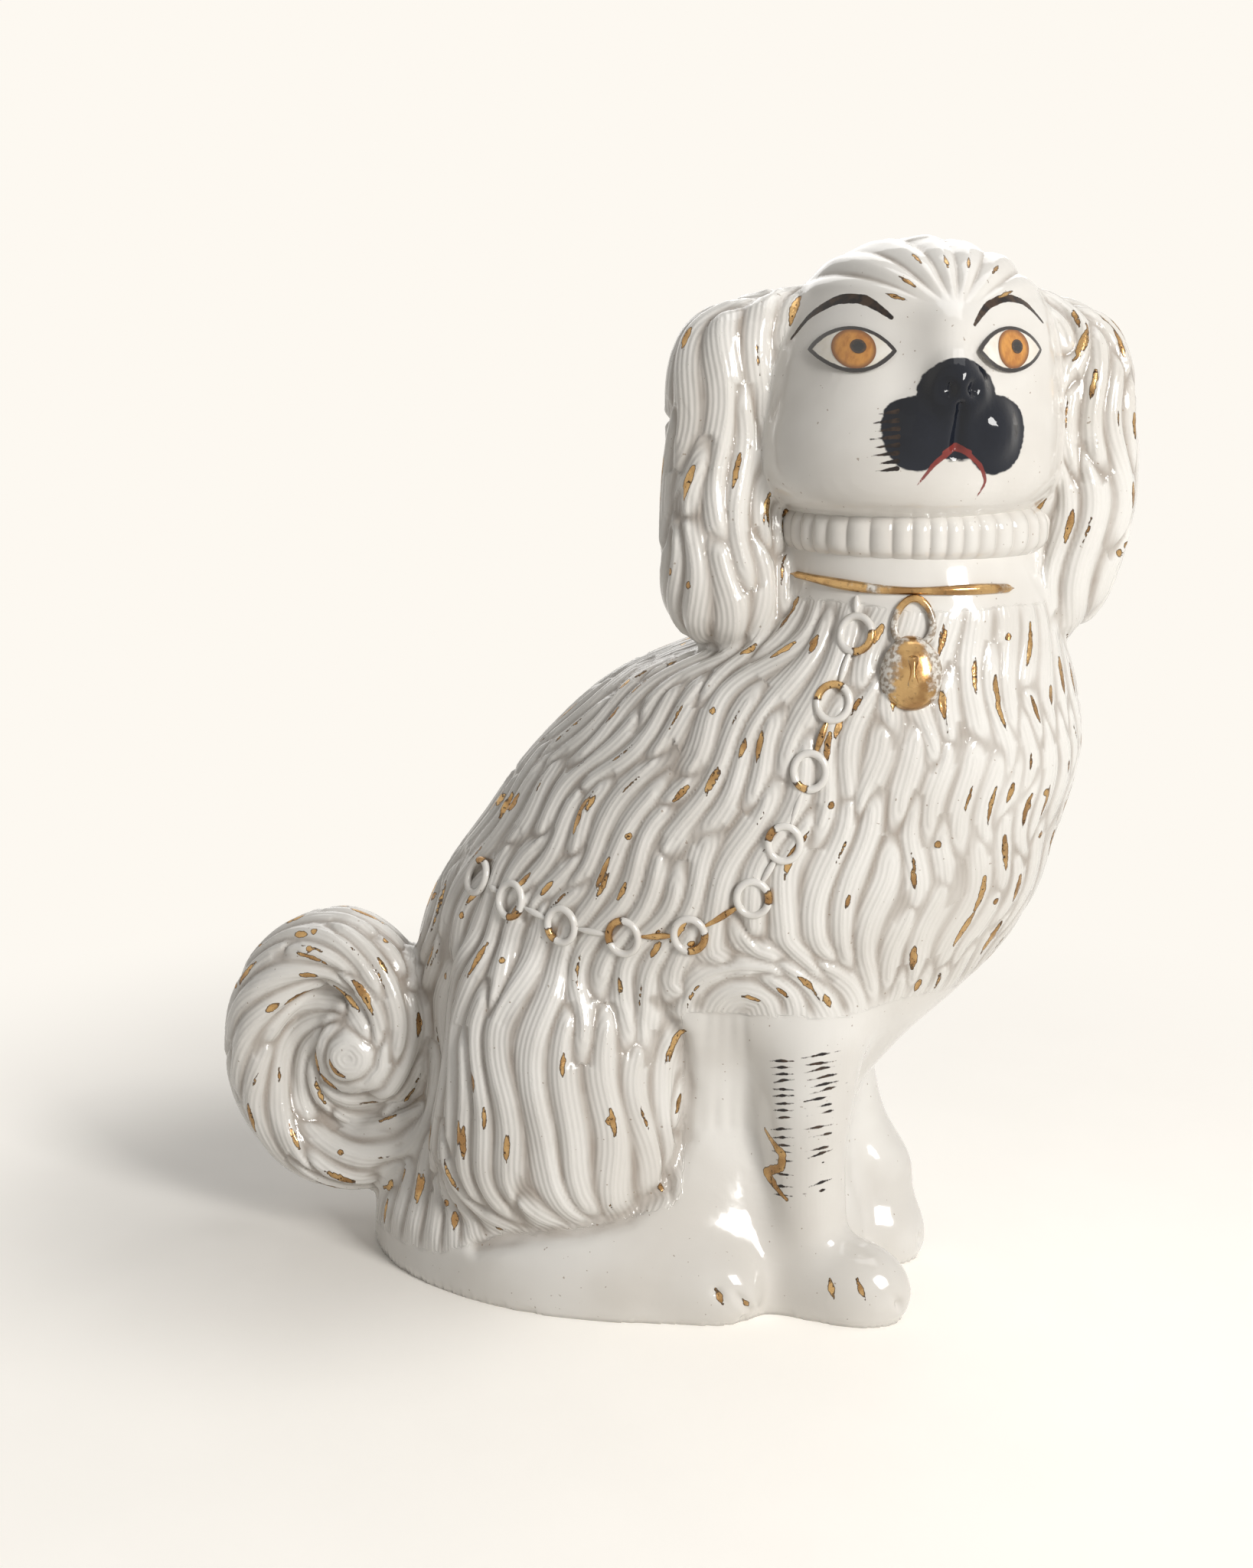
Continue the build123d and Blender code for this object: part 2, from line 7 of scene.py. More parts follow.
import bmesh
import bpy
import numpy as np
import openvdb
from mathutils.bvhtree import BVHTree
from mathutils.kdtree import KDTree
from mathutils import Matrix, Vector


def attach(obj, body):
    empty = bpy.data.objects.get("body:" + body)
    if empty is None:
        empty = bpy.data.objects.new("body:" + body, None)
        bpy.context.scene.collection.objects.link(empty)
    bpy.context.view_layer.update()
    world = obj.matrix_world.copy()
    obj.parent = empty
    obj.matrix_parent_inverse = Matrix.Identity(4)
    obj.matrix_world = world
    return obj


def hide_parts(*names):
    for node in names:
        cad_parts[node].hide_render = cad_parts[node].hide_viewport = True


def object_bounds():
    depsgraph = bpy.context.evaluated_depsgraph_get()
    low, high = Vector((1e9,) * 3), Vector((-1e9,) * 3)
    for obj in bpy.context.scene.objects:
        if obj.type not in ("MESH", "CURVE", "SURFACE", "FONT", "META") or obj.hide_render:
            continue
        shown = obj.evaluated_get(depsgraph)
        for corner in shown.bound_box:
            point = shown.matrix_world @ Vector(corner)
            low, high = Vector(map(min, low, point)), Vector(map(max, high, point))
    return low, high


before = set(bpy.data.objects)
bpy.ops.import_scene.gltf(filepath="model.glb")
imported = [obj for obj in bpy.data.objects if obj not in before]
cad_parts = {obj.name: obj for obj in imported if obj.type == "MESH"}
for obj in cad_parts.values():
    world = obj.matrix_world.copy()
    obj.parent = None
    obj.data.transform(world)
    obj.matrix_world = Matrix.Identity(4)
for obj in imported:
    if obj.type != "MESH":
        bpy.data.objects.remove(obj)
cad_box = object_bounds()

# Sizes are in millimetres until a mesh is made
MM = 0.001
VOXEL = 1.7
ROW_STEP = 0.5
AROUND = list(itertools.product((-1, 0, 1), repeat=3))

# Head frame: the neck's axis, and the way the face looks
NECK = np.array([80.0, 0.0, 206.0])
HEAD_TURN = math.radians(19.0)
LATERAL = np.array([math.cos(HEAD_TURN), math.sin(HEAD_TURN), 0.0])
FACING = np.array([math.sin(HEAD_TURN), -math.cos(HEAD_TURN), 0.0])
UP = np.array([0.0, 0.0, 1.0])


def in_head(lateral, reach, rise):
    """A point given from the neck joint: to the viewer's right, out of the face, and up."""
    return NECK + LATERAL * lateral + FACING * reach + UP * rise


# Solid forms as distance fields

Form = namedtuple("Form", "region field low high blend")


def turned(yaw):
    """Three unit axes turned from the world's about up."""
    a = math.radians(yaw)
    return np.array([[math.cos(a), -math.sin(a), 0], [math.sin(a), math.cos(a), 0], [0, 0, 1]]).T


HEAD_AXES = np.array([LATERAL, -FACING, UP])


def lump(region, centre, radii, axes=np.eye(3), blend=4.0):
    """An ellipsoid of clay."""
    centre, radii = np.asarray(centre, float), np.asarray(radii, float)

    def field(p):
        q = (p - centre) @ axes.T
        near = np.linalg.norm(q / radii, axis=-1) + 1e-9
        slope = np.linalg.norm(q / radii**2, axis=-1) + 1e-9
        return near * (near - 1) / slope

    reach = radii.max()
    return Form(region, field, centre - reach, centre + reach, blend)


def smooth_rows(rows):
    """Rows of (height, values...) filled in with a smooth curve that doesn't overshoot."""
    rows = np.asarray(sorted(rows), float)
    z, v = rows[:, 0], rows[:, 1:]
    run = np.diff(z)[:, None]
    rise = np.diff(v, axis=0) / run
    slope = np.vstack([rise[:1], (rise[:-1] + rise[1:]) / 2, rise[-1:]])
    ends = np.zeros_like(rise[:1])
    flat = np.vstack([ends, rise[:-1] * rise[1:] <= 0, ends]).astype(bool)
    slope[flat] = 0
    fine = np.arange(z[0], z[-1] + ROW_STEP, ROW_STEP).clip(z[0], z[-1])
    i = np.searchsorted(z, fine, side="right").clip(1, len(z) - 1) - 1
    t = ((fine - z[i]) / (z[i + 1] - z[i]))[:, None]
    h = run[i]
    out = (2 * t**3 - 3 * t**2 + 1) * v[i] + (t**3 - 2 * t**2 + t) * h * slope[i]
    out += (3 * t**2 - 2 * t**3) * v[i + 1] + (t**3 - t**2) * h * slope[i + 1]
    return fine, out


def stack(region, rows, origin=np.zeros(3), axes=np.eye(3), blend=4.0):
    """A form of level ovals: rows of (height, centre x, centre y, half x, half y) in its own axes."""
    origin = np.asarray(origin, float)
    heights, table = smooth_rows(rows)

    def field(p):
        q = (p - origin) @ axes.T
        z = q[..., 2]
        cx, cy, a, b = (np.interp(z, heights, table[:, k]) for k in range(4))
        dx, dy = q[..., 0] - cx + 1e-6, q[..., 1] - cy
        near = np.hypot(dx / a, dy / b)
        slope = np.hypot(dx / a**2, dy / b**2)
        side = near * (near - 1) / slope
        return np.maximum(side, np.maximum(z - heights[-1], heights[0] - z))

    reach = np.abs(table[:, :2]).max(0) + table[:, 2:].max(0)
    ends = [(-reach[0], reach[0]), (-reach[1], reach[1]), heights[[0, -1]]]
    corners = np.array(list(itertools.product(*ends))) @ axes + origin
    return Form(region, field, corners.min(0), corners.max(0), blend)


def rope(region, points, radii, flatten=1.0, blend=4.0):
    """A thick tapering strand through points, wider along y by flatten."""
    points, radii = np.asarray(points, float), np.asarray(radii, float)

    def field(p):
        best = np.full(p.shape[:-1], 1e3)
        for centre, radius in zip(points, radii):
            q = (p - centre) * (1, 1 / flatten, 1)
            best = np.minimum(best, np.sqrt((q * q).sum(-1)) - radius)
        return best

    reach = radii.max() * max(1, flatten)
    return Form(region, field, points.min(0) - reach, points.max(0) + reach, blend)


def smooth_min(a, b, k):
    """The lower of two fields with their meeting rounded over k."""
    h = np.clip(0.5 + 0.5 * (b - a) / k, 0, 1)
    return b + (a - b) * h - k * h * (1 - h)


# The dog's forms

GROUND = np.array([NECK[0], NECK[1], 0.0])
TORSO = [
    (0, -8, 0, 82, 60), (14, -8, 0, 81, 60), (32, -8, 0, 76, 52), (56, -5, 0, 73, 42), (76, 2, 0, 79, 43),
    (98, 14, 0, 88, 49), (120, 26, 0, 92, 54), (144, 38, 0, 88, 56), (170, 51, 0, 81, 55),
    (190, 62, 0, 68, 50), (206, 76, 0, 49, 44), (218, 80, 0, 42, 41), (230, 79, 0, 39, 39),
    (262, 79, 0, 38, 38),
]
SKULL = [
    (239, -3, -3, 28, 26), (242, -3, -4, 37, 36), (248, -3, -5, 43, 42), (258, -3, -5, 45, 43),
    (272, -2, -4, 44, 42), (286, -1, -2, 42, 41), (298, 0, 0, 37.5, 38), (308, 0, 1, 30.5, 32),
    (314.5, 0, 1, 21, 22), (318.4, 0, 1, 8, 8),
]
NEAR_EAR = [
    (303, -38, 5, 4, 6), (299, -44, 5, 13, 12), (288, -52, 4, 17.5, 15), (262, -55.5, 3, 17, 16),
    (235, -56, 0, 18.5, 17), (217, -54, -2, 20, 17), (206, -53, -3, 16, 14), (199, -52, -3, 7, 7),
]
FAR_EAR = [
    (302, 36, 0, 4, 6), (297, 40, -1, 13, 12), (286, 45, -3, 17, 16), (264, 47, -5, 18, 18),
    (242, 46, -7, 19, 18), (223, 42, -7, 18.5, 17), (208, 38, -6, 15, 14), (200, 35, -6, 7, 7),
]
HAUNCH = [
    (16, -20, 33, 14, 8), (20, -20, 33, 28, 18), (32, -21, 33, 38, 25), (52, -20, 32.5, 40, 27.5),
    (74, -18, 32, 38, 26.5), (92, -19, 30, 36, 24), (106, -22, 27, 31, 20), (120, -25, 20, 20, 13),
]
NEAR_FORELEG = [
    (0, 58, -32, 13, 13), (25, 57, -32, 12, 12), (50, 56, -31, 12.5, 13), (75, 56, -31, 16, 15),
    (100, 52, -31, 22, 17), (116, 49, -30, 20, 16), (128, 47, -29, 8, 8),
]
FAR_FORELEG = [
    (0, 66, 14, 14, 14), (14, 70, 12, 15.5, 14), (28, 70, 12, 15, 14), (46, 63, 14, 12.5, 13),
    (64, 59, 18, 12, 13), (90, 57, 26, 18, 15), (108, 54, 30, 20, 15), (122, 50, 30, 8, 8),
]
VENT, VENT_RADIUS, VENT_DEPTH = (-50.0, 0.0), 4.0, 8.0
TAIL_CENTRE, TAIL_STRETCH, TAIL_BUN = (-96.0, 64.0), 1.24, (-89.0, 68.0)


def tail_strand():
    """The tail's coil as strand points and radii, from its root at the rump to where it rolls in."""
    turn = np.linspace(0, 1, 60)
    angle = np.radians(-42 - 330 * turn)
    reach = 27.5 - 11.0 * (turn.clip(0.7) - 0.7) / 0.3
    x = TAIL_CENTRE[0] + reach * np.cos(angle)
    z = TAIL_CENTRE[1] + reach * TAIL_STRETCH * np.sin(angle)
    y = -10 - 5 * turn
    return np.stack([x, y, z], -1), 13.5 - 2.5 * turn


# Every form of the dog, in the order the potter builds it up
forms = [stack("body", TORSO, blend=0.1)]
for side in (-1, 1):
    forms += [
        stack("haunch", HAUNCH, axes=np.diag([1, side, 1]), blend=3.0),
        lump("skirt", (-4, side * 39, 12), (46, 19, 17), blend=10.0),
        lump("hind_paw", (22, side * 45, 9), (24, 13, 14), turned(14 * side), blend=5.0),
    ]
forms += [
    stack("foreleg", NEAR_FORELEG, blend=8.0),
    stack("foreleg", FAR_FORELEG, blend=6.0),
    lump("forepaw", (69, -36, 8), (21, 14, 15), turned(-14), blend=6.0),
    lump("forepaw", (74, 8, 7), (16, 14, 14), turned(8), blend=6.0),
    rope("tail", *tail_strand(), flatten=1.4, blend=5.0),
    lump("tail", (-96, -11, 63), (24, 15, 30), blend=3.0),
    lump("tail", (-89, -16, 68), (16, 17, 18), blend=2.0),
    stack("head", SKULL, GROUND, HEAD_AXES, blend=4.0),
    lump("head", in_head(0, 27, 76), (13, 22, 16), HEAD_AXES, blend=8.0),
    lump("head", in_head(0, 33, 48), (16, 12, 11), HEAD_AXES, blend=6.0),
    lump("muzzle", in_head(0, 36, 63), (15, 14, 16), HEAD_AXES, blend=4.0),
    lump("muzzle", in_head(-9.5, 39, 59), (9.5, 10.5, 12), HEAD_AXES, blend=2.5),
    lump("muzzle", in_head(9.5, 39, 59), (9.5, 10.5, 12), HEAD_AXES, blend=2.5),
    lump("nose", in_head(0, 45, 71), (9.2, 9, 11), HEAD_AXES, blend=2.5),
    stack("ear", NEAR_EAR, GROUND, HEAD_AXES, blend=5.0),
    stack("ear", FAR_EAR, GROUND, HEAD_AXES, blend=5.0),
]


def sculpt(forms):
    """One closed quad mesh round all the forms, as (vertices, quads)."""
    margin, outside, inside = 12.0, 50.0, -20.0
    low = np.min([f.low for f in forms], 0) - margin
    high = np.max([f.high for f in forms], 0) + margin
    size = np.ceil((high - low) / VOXEL).astype(int)
    field = np.full(size, outside, np.float32)
    for form in forms:
        first = np.floor((form.low - margin - low) / VOXEL).astype(int).clip(0)
        last = np.minimum(np.ceil((form.high + margin - low) / VOXEL).astype(int) + 1, size)
        grid = np.stack(np.meshgrid(*[np.arange(a, b) for a, b in zip(first, last)], indexing="ij"), -1)
        near = form.field(grid * VOXEL + low)
        box = tuple(slice(a, b) for a, b in zip(first, last))
        field[box] = smooth_min(field[box], near, form.blend)
    x, y, z = (np.arange(n) * VOXEL + o for n, o in zip(size, low))
    vent = np.hypot(x[:, None] - VENT[0], y[None] - VENT[1])[:, :, None] - VENT_RADIUS
    field = np.maximum(field, -np.maximum(vent, z[None, None] - VENT_DEPTH))
    field = np.maximum(field, -z[None, None])
    volume = openvdb.FloatGrid(outside)
    volume.copyFromArray(field.clip(inside, outside))
    points, quads = volume.convertToQuads(isovalue=0.0)
    return points * VOXEL + low, quads.astype(int)


def edges_of(quads):
    """The two ends of every side of the quads."""
    return np.vstack([quads[:, [i, (i + 1) % 4]] for i in range(4)])


def smoothed(points, quads, rounds=6):
    """The points moved towards their neighbours and back, which takes out the steps of the voxels."""
    edges = edges_of(quads)
    count = np.bincount(edges.ravel(), minlength=len(points))[:, None]
    for _ in range(rounds):
        for pull in (0.5, -0.52):
            total = np.zeros_like(points)
            for k in range(3):
                total[:, k] = np.bincount(edges[:, 0], points[edges[:, 1], k], len(points))
                total[:, k] += np.bincount(edges[:, 1], points[edges[:, 0], k], len(points))
            points = points + pull * (total / count - points)
    return points


def divided(points, quads):
    """Every quad cut into four."""
    edges = edges_of(quads)
    pairs, which = np.unique(np.sort(edges, 1), axis=0, return_inverse=True)
    which = which.reshape(4, -1).T + len(points)
    middle = np.arange(len(quads)) + len(points) + len(pairs)
    points = np.vstack([points, points[pairs].mean(1), points[quads].mean(1)])
    parts = [np.stack([quads[:, i], which[:, i], middle, which[:, i - 1]], 1) for i in range(4)]
    return points, np.vstack(parts)


def step(low, high, value):
    """0 below low, 1 above high and a smooth rise between them."""
    t = np.clip((value - low) / (high - low), 0, 1)
    return t * t * (3 - 2 * t)


def unit(vectors):
    """The vectors at length one."""
    return vectors / (np.linalg.norm(vectors, axis=-1, keepdims=True) + 1e-12)


def within(places, low, high):
    """Which places lie inside a box."""
    return ((places > low) & (places < high)).all(1)


def region_fields(places, forms):
    """How far each place lies outside each region of the dog."""
    margin, beyond, fields = 15.0, 30.0, {}
    for form in forms:
        far = np.full(len(places), beyond)
        close = within(places, form.low - margin, form.high + margin)
        far[close] = form.field(places[close])
        fields[form.region] = np.minimum(fields.get(form.region, beyond), far)
    return fields


def share(fields, *regions):
    """How far a place belongs to some regions, from 0 to 1."""
    soft, mine = 3.0, np.min([fields[r] for r in regions], 0)
    rest = np.min([f for r, f in fields.items() if r not in regions], 0)
    return step(-soft, soft, rest - mine)


# Fur: the ways the coat is combed, as strokes on the side on show (place, way in x and z, reach)

FLANK_COMB = [
    (62, 200, -0.20, -1, 26), (40, 190, -0.42, -1, 26), (20, 186, -0.7, -1, 26), (30, 160, -0.45, -1, 28),
    (-4, 160, -0.85, -1, 26), (-30, 140, -1, -0.95, 26), (8, 136, -0.5, -1, 24), (56, 150, -0.25, -1, 26),
    (-52, 112, -0.6, -1, 24), (96, 190, 0.06, -1, 26), (110, 160, 0.10, -1, 26), (84, 140, -0.05, -1, 24),
    (96, 116, -0.25, -1, 22), (126, 150, 0, -1, 26), (-74, 90, -0.1, -1, 26), (-78, 60, -0.12, -1, 24),
    (-76, 30, 0.15, -1, 24), (14, 112, -0.2, -1, 18), (-20, 116, -0.35, -1, 20),
]
HAUNCH_COMB = [
    (-48, 100, -0.10, -1, 18), (-20, 100, 0.0, -1, 18), (6, 98, 0.12, -1, 16), (-54, 68, 0.05, -1, 18),
    (-26, 68, -0.18, -1, 16), (6, 70, 0.05, -1, 14), (-50, 46, 0.45, -1, 14), (-26, 48, 0.35, -1, 14),
    (4, 50, -0.25, -1, 12), (-40, 34, 0.95, -0.6, 12), (-18, 36, 0.9, -0.75, 12), (6, 36, 0.2, -1, 9),
    (-30, 24, 1, -0.2, 12), (-10, 25, 1, 0.05, 12), (10, 27, 1, 0.45, 9), (17, 36, 0.3, 1, 7),
    (-68, 40, 0.12, -1, 16),
]
SHOULDER = (48.0, 86.0)


def combed(x, z, strokes):
    """The way the coat lies at x and z, blended from the strokes near it, in x and z."""
    way = np.zeros((len(x), 2))
    for sx, sz, wx, wz, reach in strokes:
        near = np.exp(-((x - sx) ** 2 + (z - sz) ** 2) / (2 * reach**2)) + 1e-9
        way += near[:, None] * np.array([wx, wz]) / math.hypot(wx, wz)
    return unit(way)


def round_way(x, z, centre, stretch=1.0):
    """The way round a centre, clockwise as seen from the side on show, and the distance from it."""
    dx, dz = x - centre[0], (z - centre[1]) / stretch
    return unit(np.stack([dz, -dx * stretch], -1)), np.hypot(dx, dz)


def coat_ways(places, normals, fields):
    """The way the coat lies at each place of the skin."""
    x, z = places[:, 0], places[:, 2]
    flank, thigh = combed(x, z, FLANK_COMB), combed(x, z, HAUNCH_COMB)
    way = flank + (thigh - flank) * step(4, -1, fields["haunch"])[:, None]
    arc, gap = round_way(x, z, SHOULDER)
    arched = np.exp(-(((gap - 25) / 11) ** 2)) * step(90, 98, z)
    way = way + (arc - way) * arched[:, None]
    coil, _ = round_way(x, z, TAIL_CENTRE, TAIL_STRETCH)
    bun, inner = round_way(x, z, TAIL_BUN)
    coil = np.where((inner < 11)[:, None], bun, coil)
    inward = unit(np.stack([TAIL_BUN[0] - x, TAIL_BUN[1] - z], -1))
    coil = unit(coil + 0.55 * step(9, 16, inner)[:, None] * inward)
    way = way + (coil - way) * share(fields, "tail")[:, None]
    way = way + (np.array([0, -1.0]) - way) * share(fields, "ear")[:, None]
    way = np.stack([way[:, 0], 0 * x, way[:, 1]], -1)
    way -= normals * (way * normals).sum(-1, keepdims=True)
    return unit(way)


def coat_depth(places, fields):
    """How deep the locks are cut at each place, in millimetres."""
    x, z = places[:, 0], places[:, 2]
    hem = np.interp(x, [-90, -55, -35, -10, 20, 30], [4, 8, 19, 25, 30, 30])
    spots = (places - NECK) @ HEAD_AXES.T
    behind = step(8, 24, spots[:, 1])
    depth = 1.8 * step(hem, hem + 13, z) * (1 - step(212, 219, z) * (1 - behind))
    depth *= 1 - step(17, 22, x) * (1 - step(92, 104, z))
    depth *= 1 - 0.55 * step(60, 88, x)
    depth *= 0.82 + 0.22 * np.sin(0.11 * x + 0.05 * z) * np.sin(0.10 * z - 0.06 * x + 1)
    depth += 0.5 * step(3, -1, fields["haunch"]) * step(18, 30, z) * (1 - step(17, 24, x))
    depth *= share(fields, "body", "haunch", "skirt", "foreleg")
    nape = 1.7 * behind * step(112, 102, spots[:, 2]) * share(fields, "head")
    return depth + nape + 1.9 * share(fields, "ear") + 1.6 * share(fields, "tail")


Lock = namedtuple("Lock", "points kind")
LOCK_CELL, LOCK_STEP, LOCK_NEIGHBOURS = 7, 1.5, 16
# For each kind: the gap between locks, their least and most length, their sway in degrees and its wave
LOCK_KINDS = {
    "flank": (6.4, 36, 90, 19, 44),
    "chest": (6.4, 18, 44, 20, 40),
    "haunch": (7.4, 70, 120, 20, 52),
    "ear": (7.6, 34, 70, 24, 46),
    "tail": (6.0, 30, 70, 4, 30),
}


def lock_cell(place):
    """The cell that a place of a lock falls in."""
    return tuple(int(c // LOCK_CELL) for c in place)


def grow_locks(tree, centres, normals, ways, depth, kinds, rng):
    """Lines of fur laid over the skin so that they keep apart: each follows the coat and waves as it goes."""
    cells = {}

    def crowd(place, apart, own):
        """Whether another lock's line passes closer by."""
        x, y, z = lock_cell(place)
        for i, j, k in AROUND:
            for other, number in cells.get((x + i, y + j, z + k), ()):
                if number != own and ((other - place) ** 2).sum() < apart * apart:
                    return True
        return False

    locks = []
    for seed in rng.permutation(np.flatnonzero(depth > 0.35)):
        kind = kinds[seed]
        apart, least, most, sway, wave = LOCK_KINDS[kind]
        if crowd(centres[seed], apart, -1):
            continue
        reach = rng.uniform(least, most) / 2
        lean, late = math.radians(sway) * rng.uniform(0.5, 1.3), rng.uniform(-0.7, 0.7)
        halves = []
        for sense in (1, -1):
            place, face, line = centres[seed], seed, []
            for _ in range(int(reach / LOCK_STEP)):
                turn = lean * math.sin(2 * math.pi * (place[2] + 0.25 * place[0]) / wave + late)
                way = ways[face] * math.cos(turn) + np.cross(normals[face], ways[face]) * math.sin(turn)
                found, _, face, _ = tree.find_nearest((place + sense * LOCK_STEP * way).tolist())
                place = np.array(found)
                if depth[face] < 0.3 or crowd(place, apart * 0.66, len(locks)):
                    break
                line.append(place)
            halves.append(line)
        line = halves[1][::-1] + [centres[seed]] + halves[0]
        if len(line) < 5:
            continue
        for place in line:
            cells.setdefault(lock_cell(place), []).append((place, len(locks)))
        locks.append(Lock(np.array(line), kind))
    return locks


def tree_of(spots):
    """A tree that finds the nearest of some spots."""
    tree = KDTree(len(spots))
    for number, spot in enumerate(spots):
        tree.insert(spot, number)
    tree.balance()
    return tree


def lock_ridges(places, wanted, locks, power):
    """How far wanted places lie from a lock's line, and ridges that fall from 1 to 0 towards the next.

    The distances are drawn out along the lock, so that its ends run to a point.
    """
    spots = np.vstack([k.points for k in locks])
    ways = unit(np.vstack([np.gradient(k.points, axis=0) for k in locks]))
    owner = np.repeat(np.arange(len(locks)), [len(k.points) for k in locks])
    tree = tree_of(spots)
    chosen = np.flatnonzero(wanted)
    close = np.array([[k for _, k, _ in tree.find_n(places[i], LOCK_NEIGHBOURS)] for i in chosen])
    offset = places[chosen][:, None] - spots[close]
    along = (offset * ways[close]).sum(-1)
    gap = np.sqrt(np.maximum((offset**2).sum(-1) - 0.8 * along**2, 0))
    best = gap.argmin(1)
    rows = np.arange(len(chosen))
    own = owner[close[rows, best]]
    near, far = np.full((2, len(places)), 5.0)
    near[chosen] = gap[rows, best]
    far[chosen] = np.where(owner[close] == own[:, None], 9.0, gap).min(1)
    return near, 1 - (2 * near / (near + far)) ** power


# Skin

rng = np.random.default_rng(7)
points, quads = sculpt(forms)
points = smoothed(points, quads)

corners = points[quads]
centres = corners.mean(1)
face_normals = unit(np.cross(corners[:, 2] - corners[:, 0], corners[:, 3] - corners[:, 1]))
fields = region_fields(centres, forms)
kinds = np.full(len(quads), "flank", dtype=object)
kinds[centres[:, 0] > 70] = "chest"
kinds[fields["haunch"] < 1.5] = "haunch"
kinds[share(fields, "ear") > 0.5] = "ear"
kinds[share(fields, "tail") > 0.5] = "tail"
smooth_tree = BVHTree.FromPolygons(points.tolist(), quads.tolist())
depth = coat_depth(centres, fields)
ways = coat_ways(centres, face_normals, fields)
locks = grow_locks(smooth_tree, centres, face_normals, ways, depth, kinds, rng)


def on_face(lateral, rise, tree=smooth_tree):
    """The face's point to the viewer's right and above the neck joint, and its direction."""
    start = in_head(lateral, 90, rise)
    place, normal, _, _ = tree.ray_cast(start.tolist(), (-FACING).tolist())
    return np.array(place), np.array(normal)


def on_side(x, z, tree=smooth_tree):
    """The point at x and z of the side on show, and its direction."""
    place, normal, _, _ = tree.ray_cast((x, -150.0, z), (0.0, 1.0, 0.0))
    return np.array(place), np.array(normal)


# Forehead: ridges that fan out from between the brows and over the crown
FAN_START, FAN_RIDGES, FAN_HALF = (1.0, 88.0), 11, 84.0
FAN_STEPS, FAN_STEP = 34, 1.3
crown_locks = []
for angle in np.radians(np.linspace(-FAN_HALF, FAN_HALF, FAN_RIDGES)):
    place, normal = on_face(FAN_START[0] + 5 * math.sin(angle), FAN_START[1] + 5 * math.cos(angle))
    way = LATERAL * math.sin(angle) + UP * math.cos(angle)
    line = [place]
    for _ in range(FAN_STEPS):
        way = unit(way - normal * (way * normal).sum())
        found, normal, _, _ = smooth_tree.find_nearest((place + FAN_STEP * way).tolist())
        place, normal = np.array(found), np.array(normal)
        line.append(place)
    crown_locks.append(Lock(np.array(line), "crown"))


# The fine skin: each face cut into four, and once more where it is painted finely
points, quads = divided(points, quads)
points = smoothed(points, quads, rounds=2)
fine = bpy.data.meshes.new("fine_skin")
fine.from_pydata(points.tolist(), [], quads.tolist())
mesh = bmesh.new()
mesh.from_mesh(fine)
close = within((points - NECK) @ HEAD_AXES.T, (-40, -np.inf, 36), (40, -14, 108))
close |= within(points, (44, -np.inf, 32), (78, -34, 92))
mesh.verts.ensure_lookup_table()
picked = [e for e in mesh.edges if close[e.verts[0].index] and close[e.verts[1].index]]
bmesh.ops.subdivide_edges(mesh, edges=picked, cuts=1, use_grid_fill=True)
mesh.to_mesh(fine)
mesh.free()


def vertex_rows(name):
    """One property of every vertex of the fine skin."""
    values = np.empty(len(fine.vertices) * 3, np.float32)
    fine.vertices.foreach_get(name, values)
    return values.reshape(-1, 3).astype(float)


fine.update()
points, normals = vertex_rows("co"), vertex_rows("normal")
fields = region_fields(points, forms)
head_spots = (points - NECK) @ HEAD_AXES.T

# Locks in relief
depth = coat_depth(points, fields)
near, ridge = lock_ridges(points, depth > 0.05, locks, 1.7)
raise_by = depth * (ridge - 0.4) * step(0.0, 0.5, depth)
# groove marks where the colour is darkened between the locks: dirt and painted shade together
groove = step(0.62, 0.05, ridge) * step(0.1, 0.9, depth)

crown = step(93, 102, head_spots[:, 2]) * (1 - step(6, 26, head_spots[:, 1]))
crown *= share(fields, "head", "muzzle", "nose")
_, crown_ridge = lock_ridges(points, crown > 0.02, crown_locks, 1.6)
raise_by += crown * 1.5 * (crown_ridge - 0.65)
# The forehead's grooves get the same dirt and painted shade
groove = np.maximum(groove, crown * step(0.5, 0.0, crown_ridge))


def slit(start, end, size, amount):
    """A soft groove in the skin from one place to another, or a dent where they are the same."""
    start, run = np.asarray(start, float), np.subtract(end, start, dtype=float)
    t = np.clip((points - start) @ run / max((run**2).sum(), 1e-9), 0, 1)
    gap = ((points - start - t[:, None] * run) ** 2).sum(-1)
    return amount * np.exp(-gap / (2 * size**2))


# Hollows round the eyes, nostrils, the line of the mouth and the toes
HOLLOWS = [
    (-13, 78, 7, 1.4), (7, 78, 6, 1.2), (-36, 78, 6, 0.8), (-1, 90, 5, -1.6),
    (-4.2, 71.0, 2.1, 2.8), (4.2, 71.0, 2.1, 2.8),
]
for lateral, rise, size, amount in HOLLOWS:
    place, _ = on_face(lateral, rise)
    raise_by -= slit(place, place, size, amount)
raise_by -= slit(on_face(0, 66)[0], on_face(0, 55)[0], 1.5, 2.2)
for toe in np.array([(78.0, -40.0, 0.0), (80.0, 10.0, 0.0)]):
    for turn in (-0.35, 0.35):
        raise_by -= slit(toe + (2, 14 * turn, 14), toe + (14, 16 * turn, 2), 1.1, 1.9)
for side in (-1, 1):
    for shift in (-2.5, 3.5):
        raise_by -= slit((36 + shift, side * 58, 12), (42 + shift * 0.6, side * 52, 2), 1.0, 1.2)

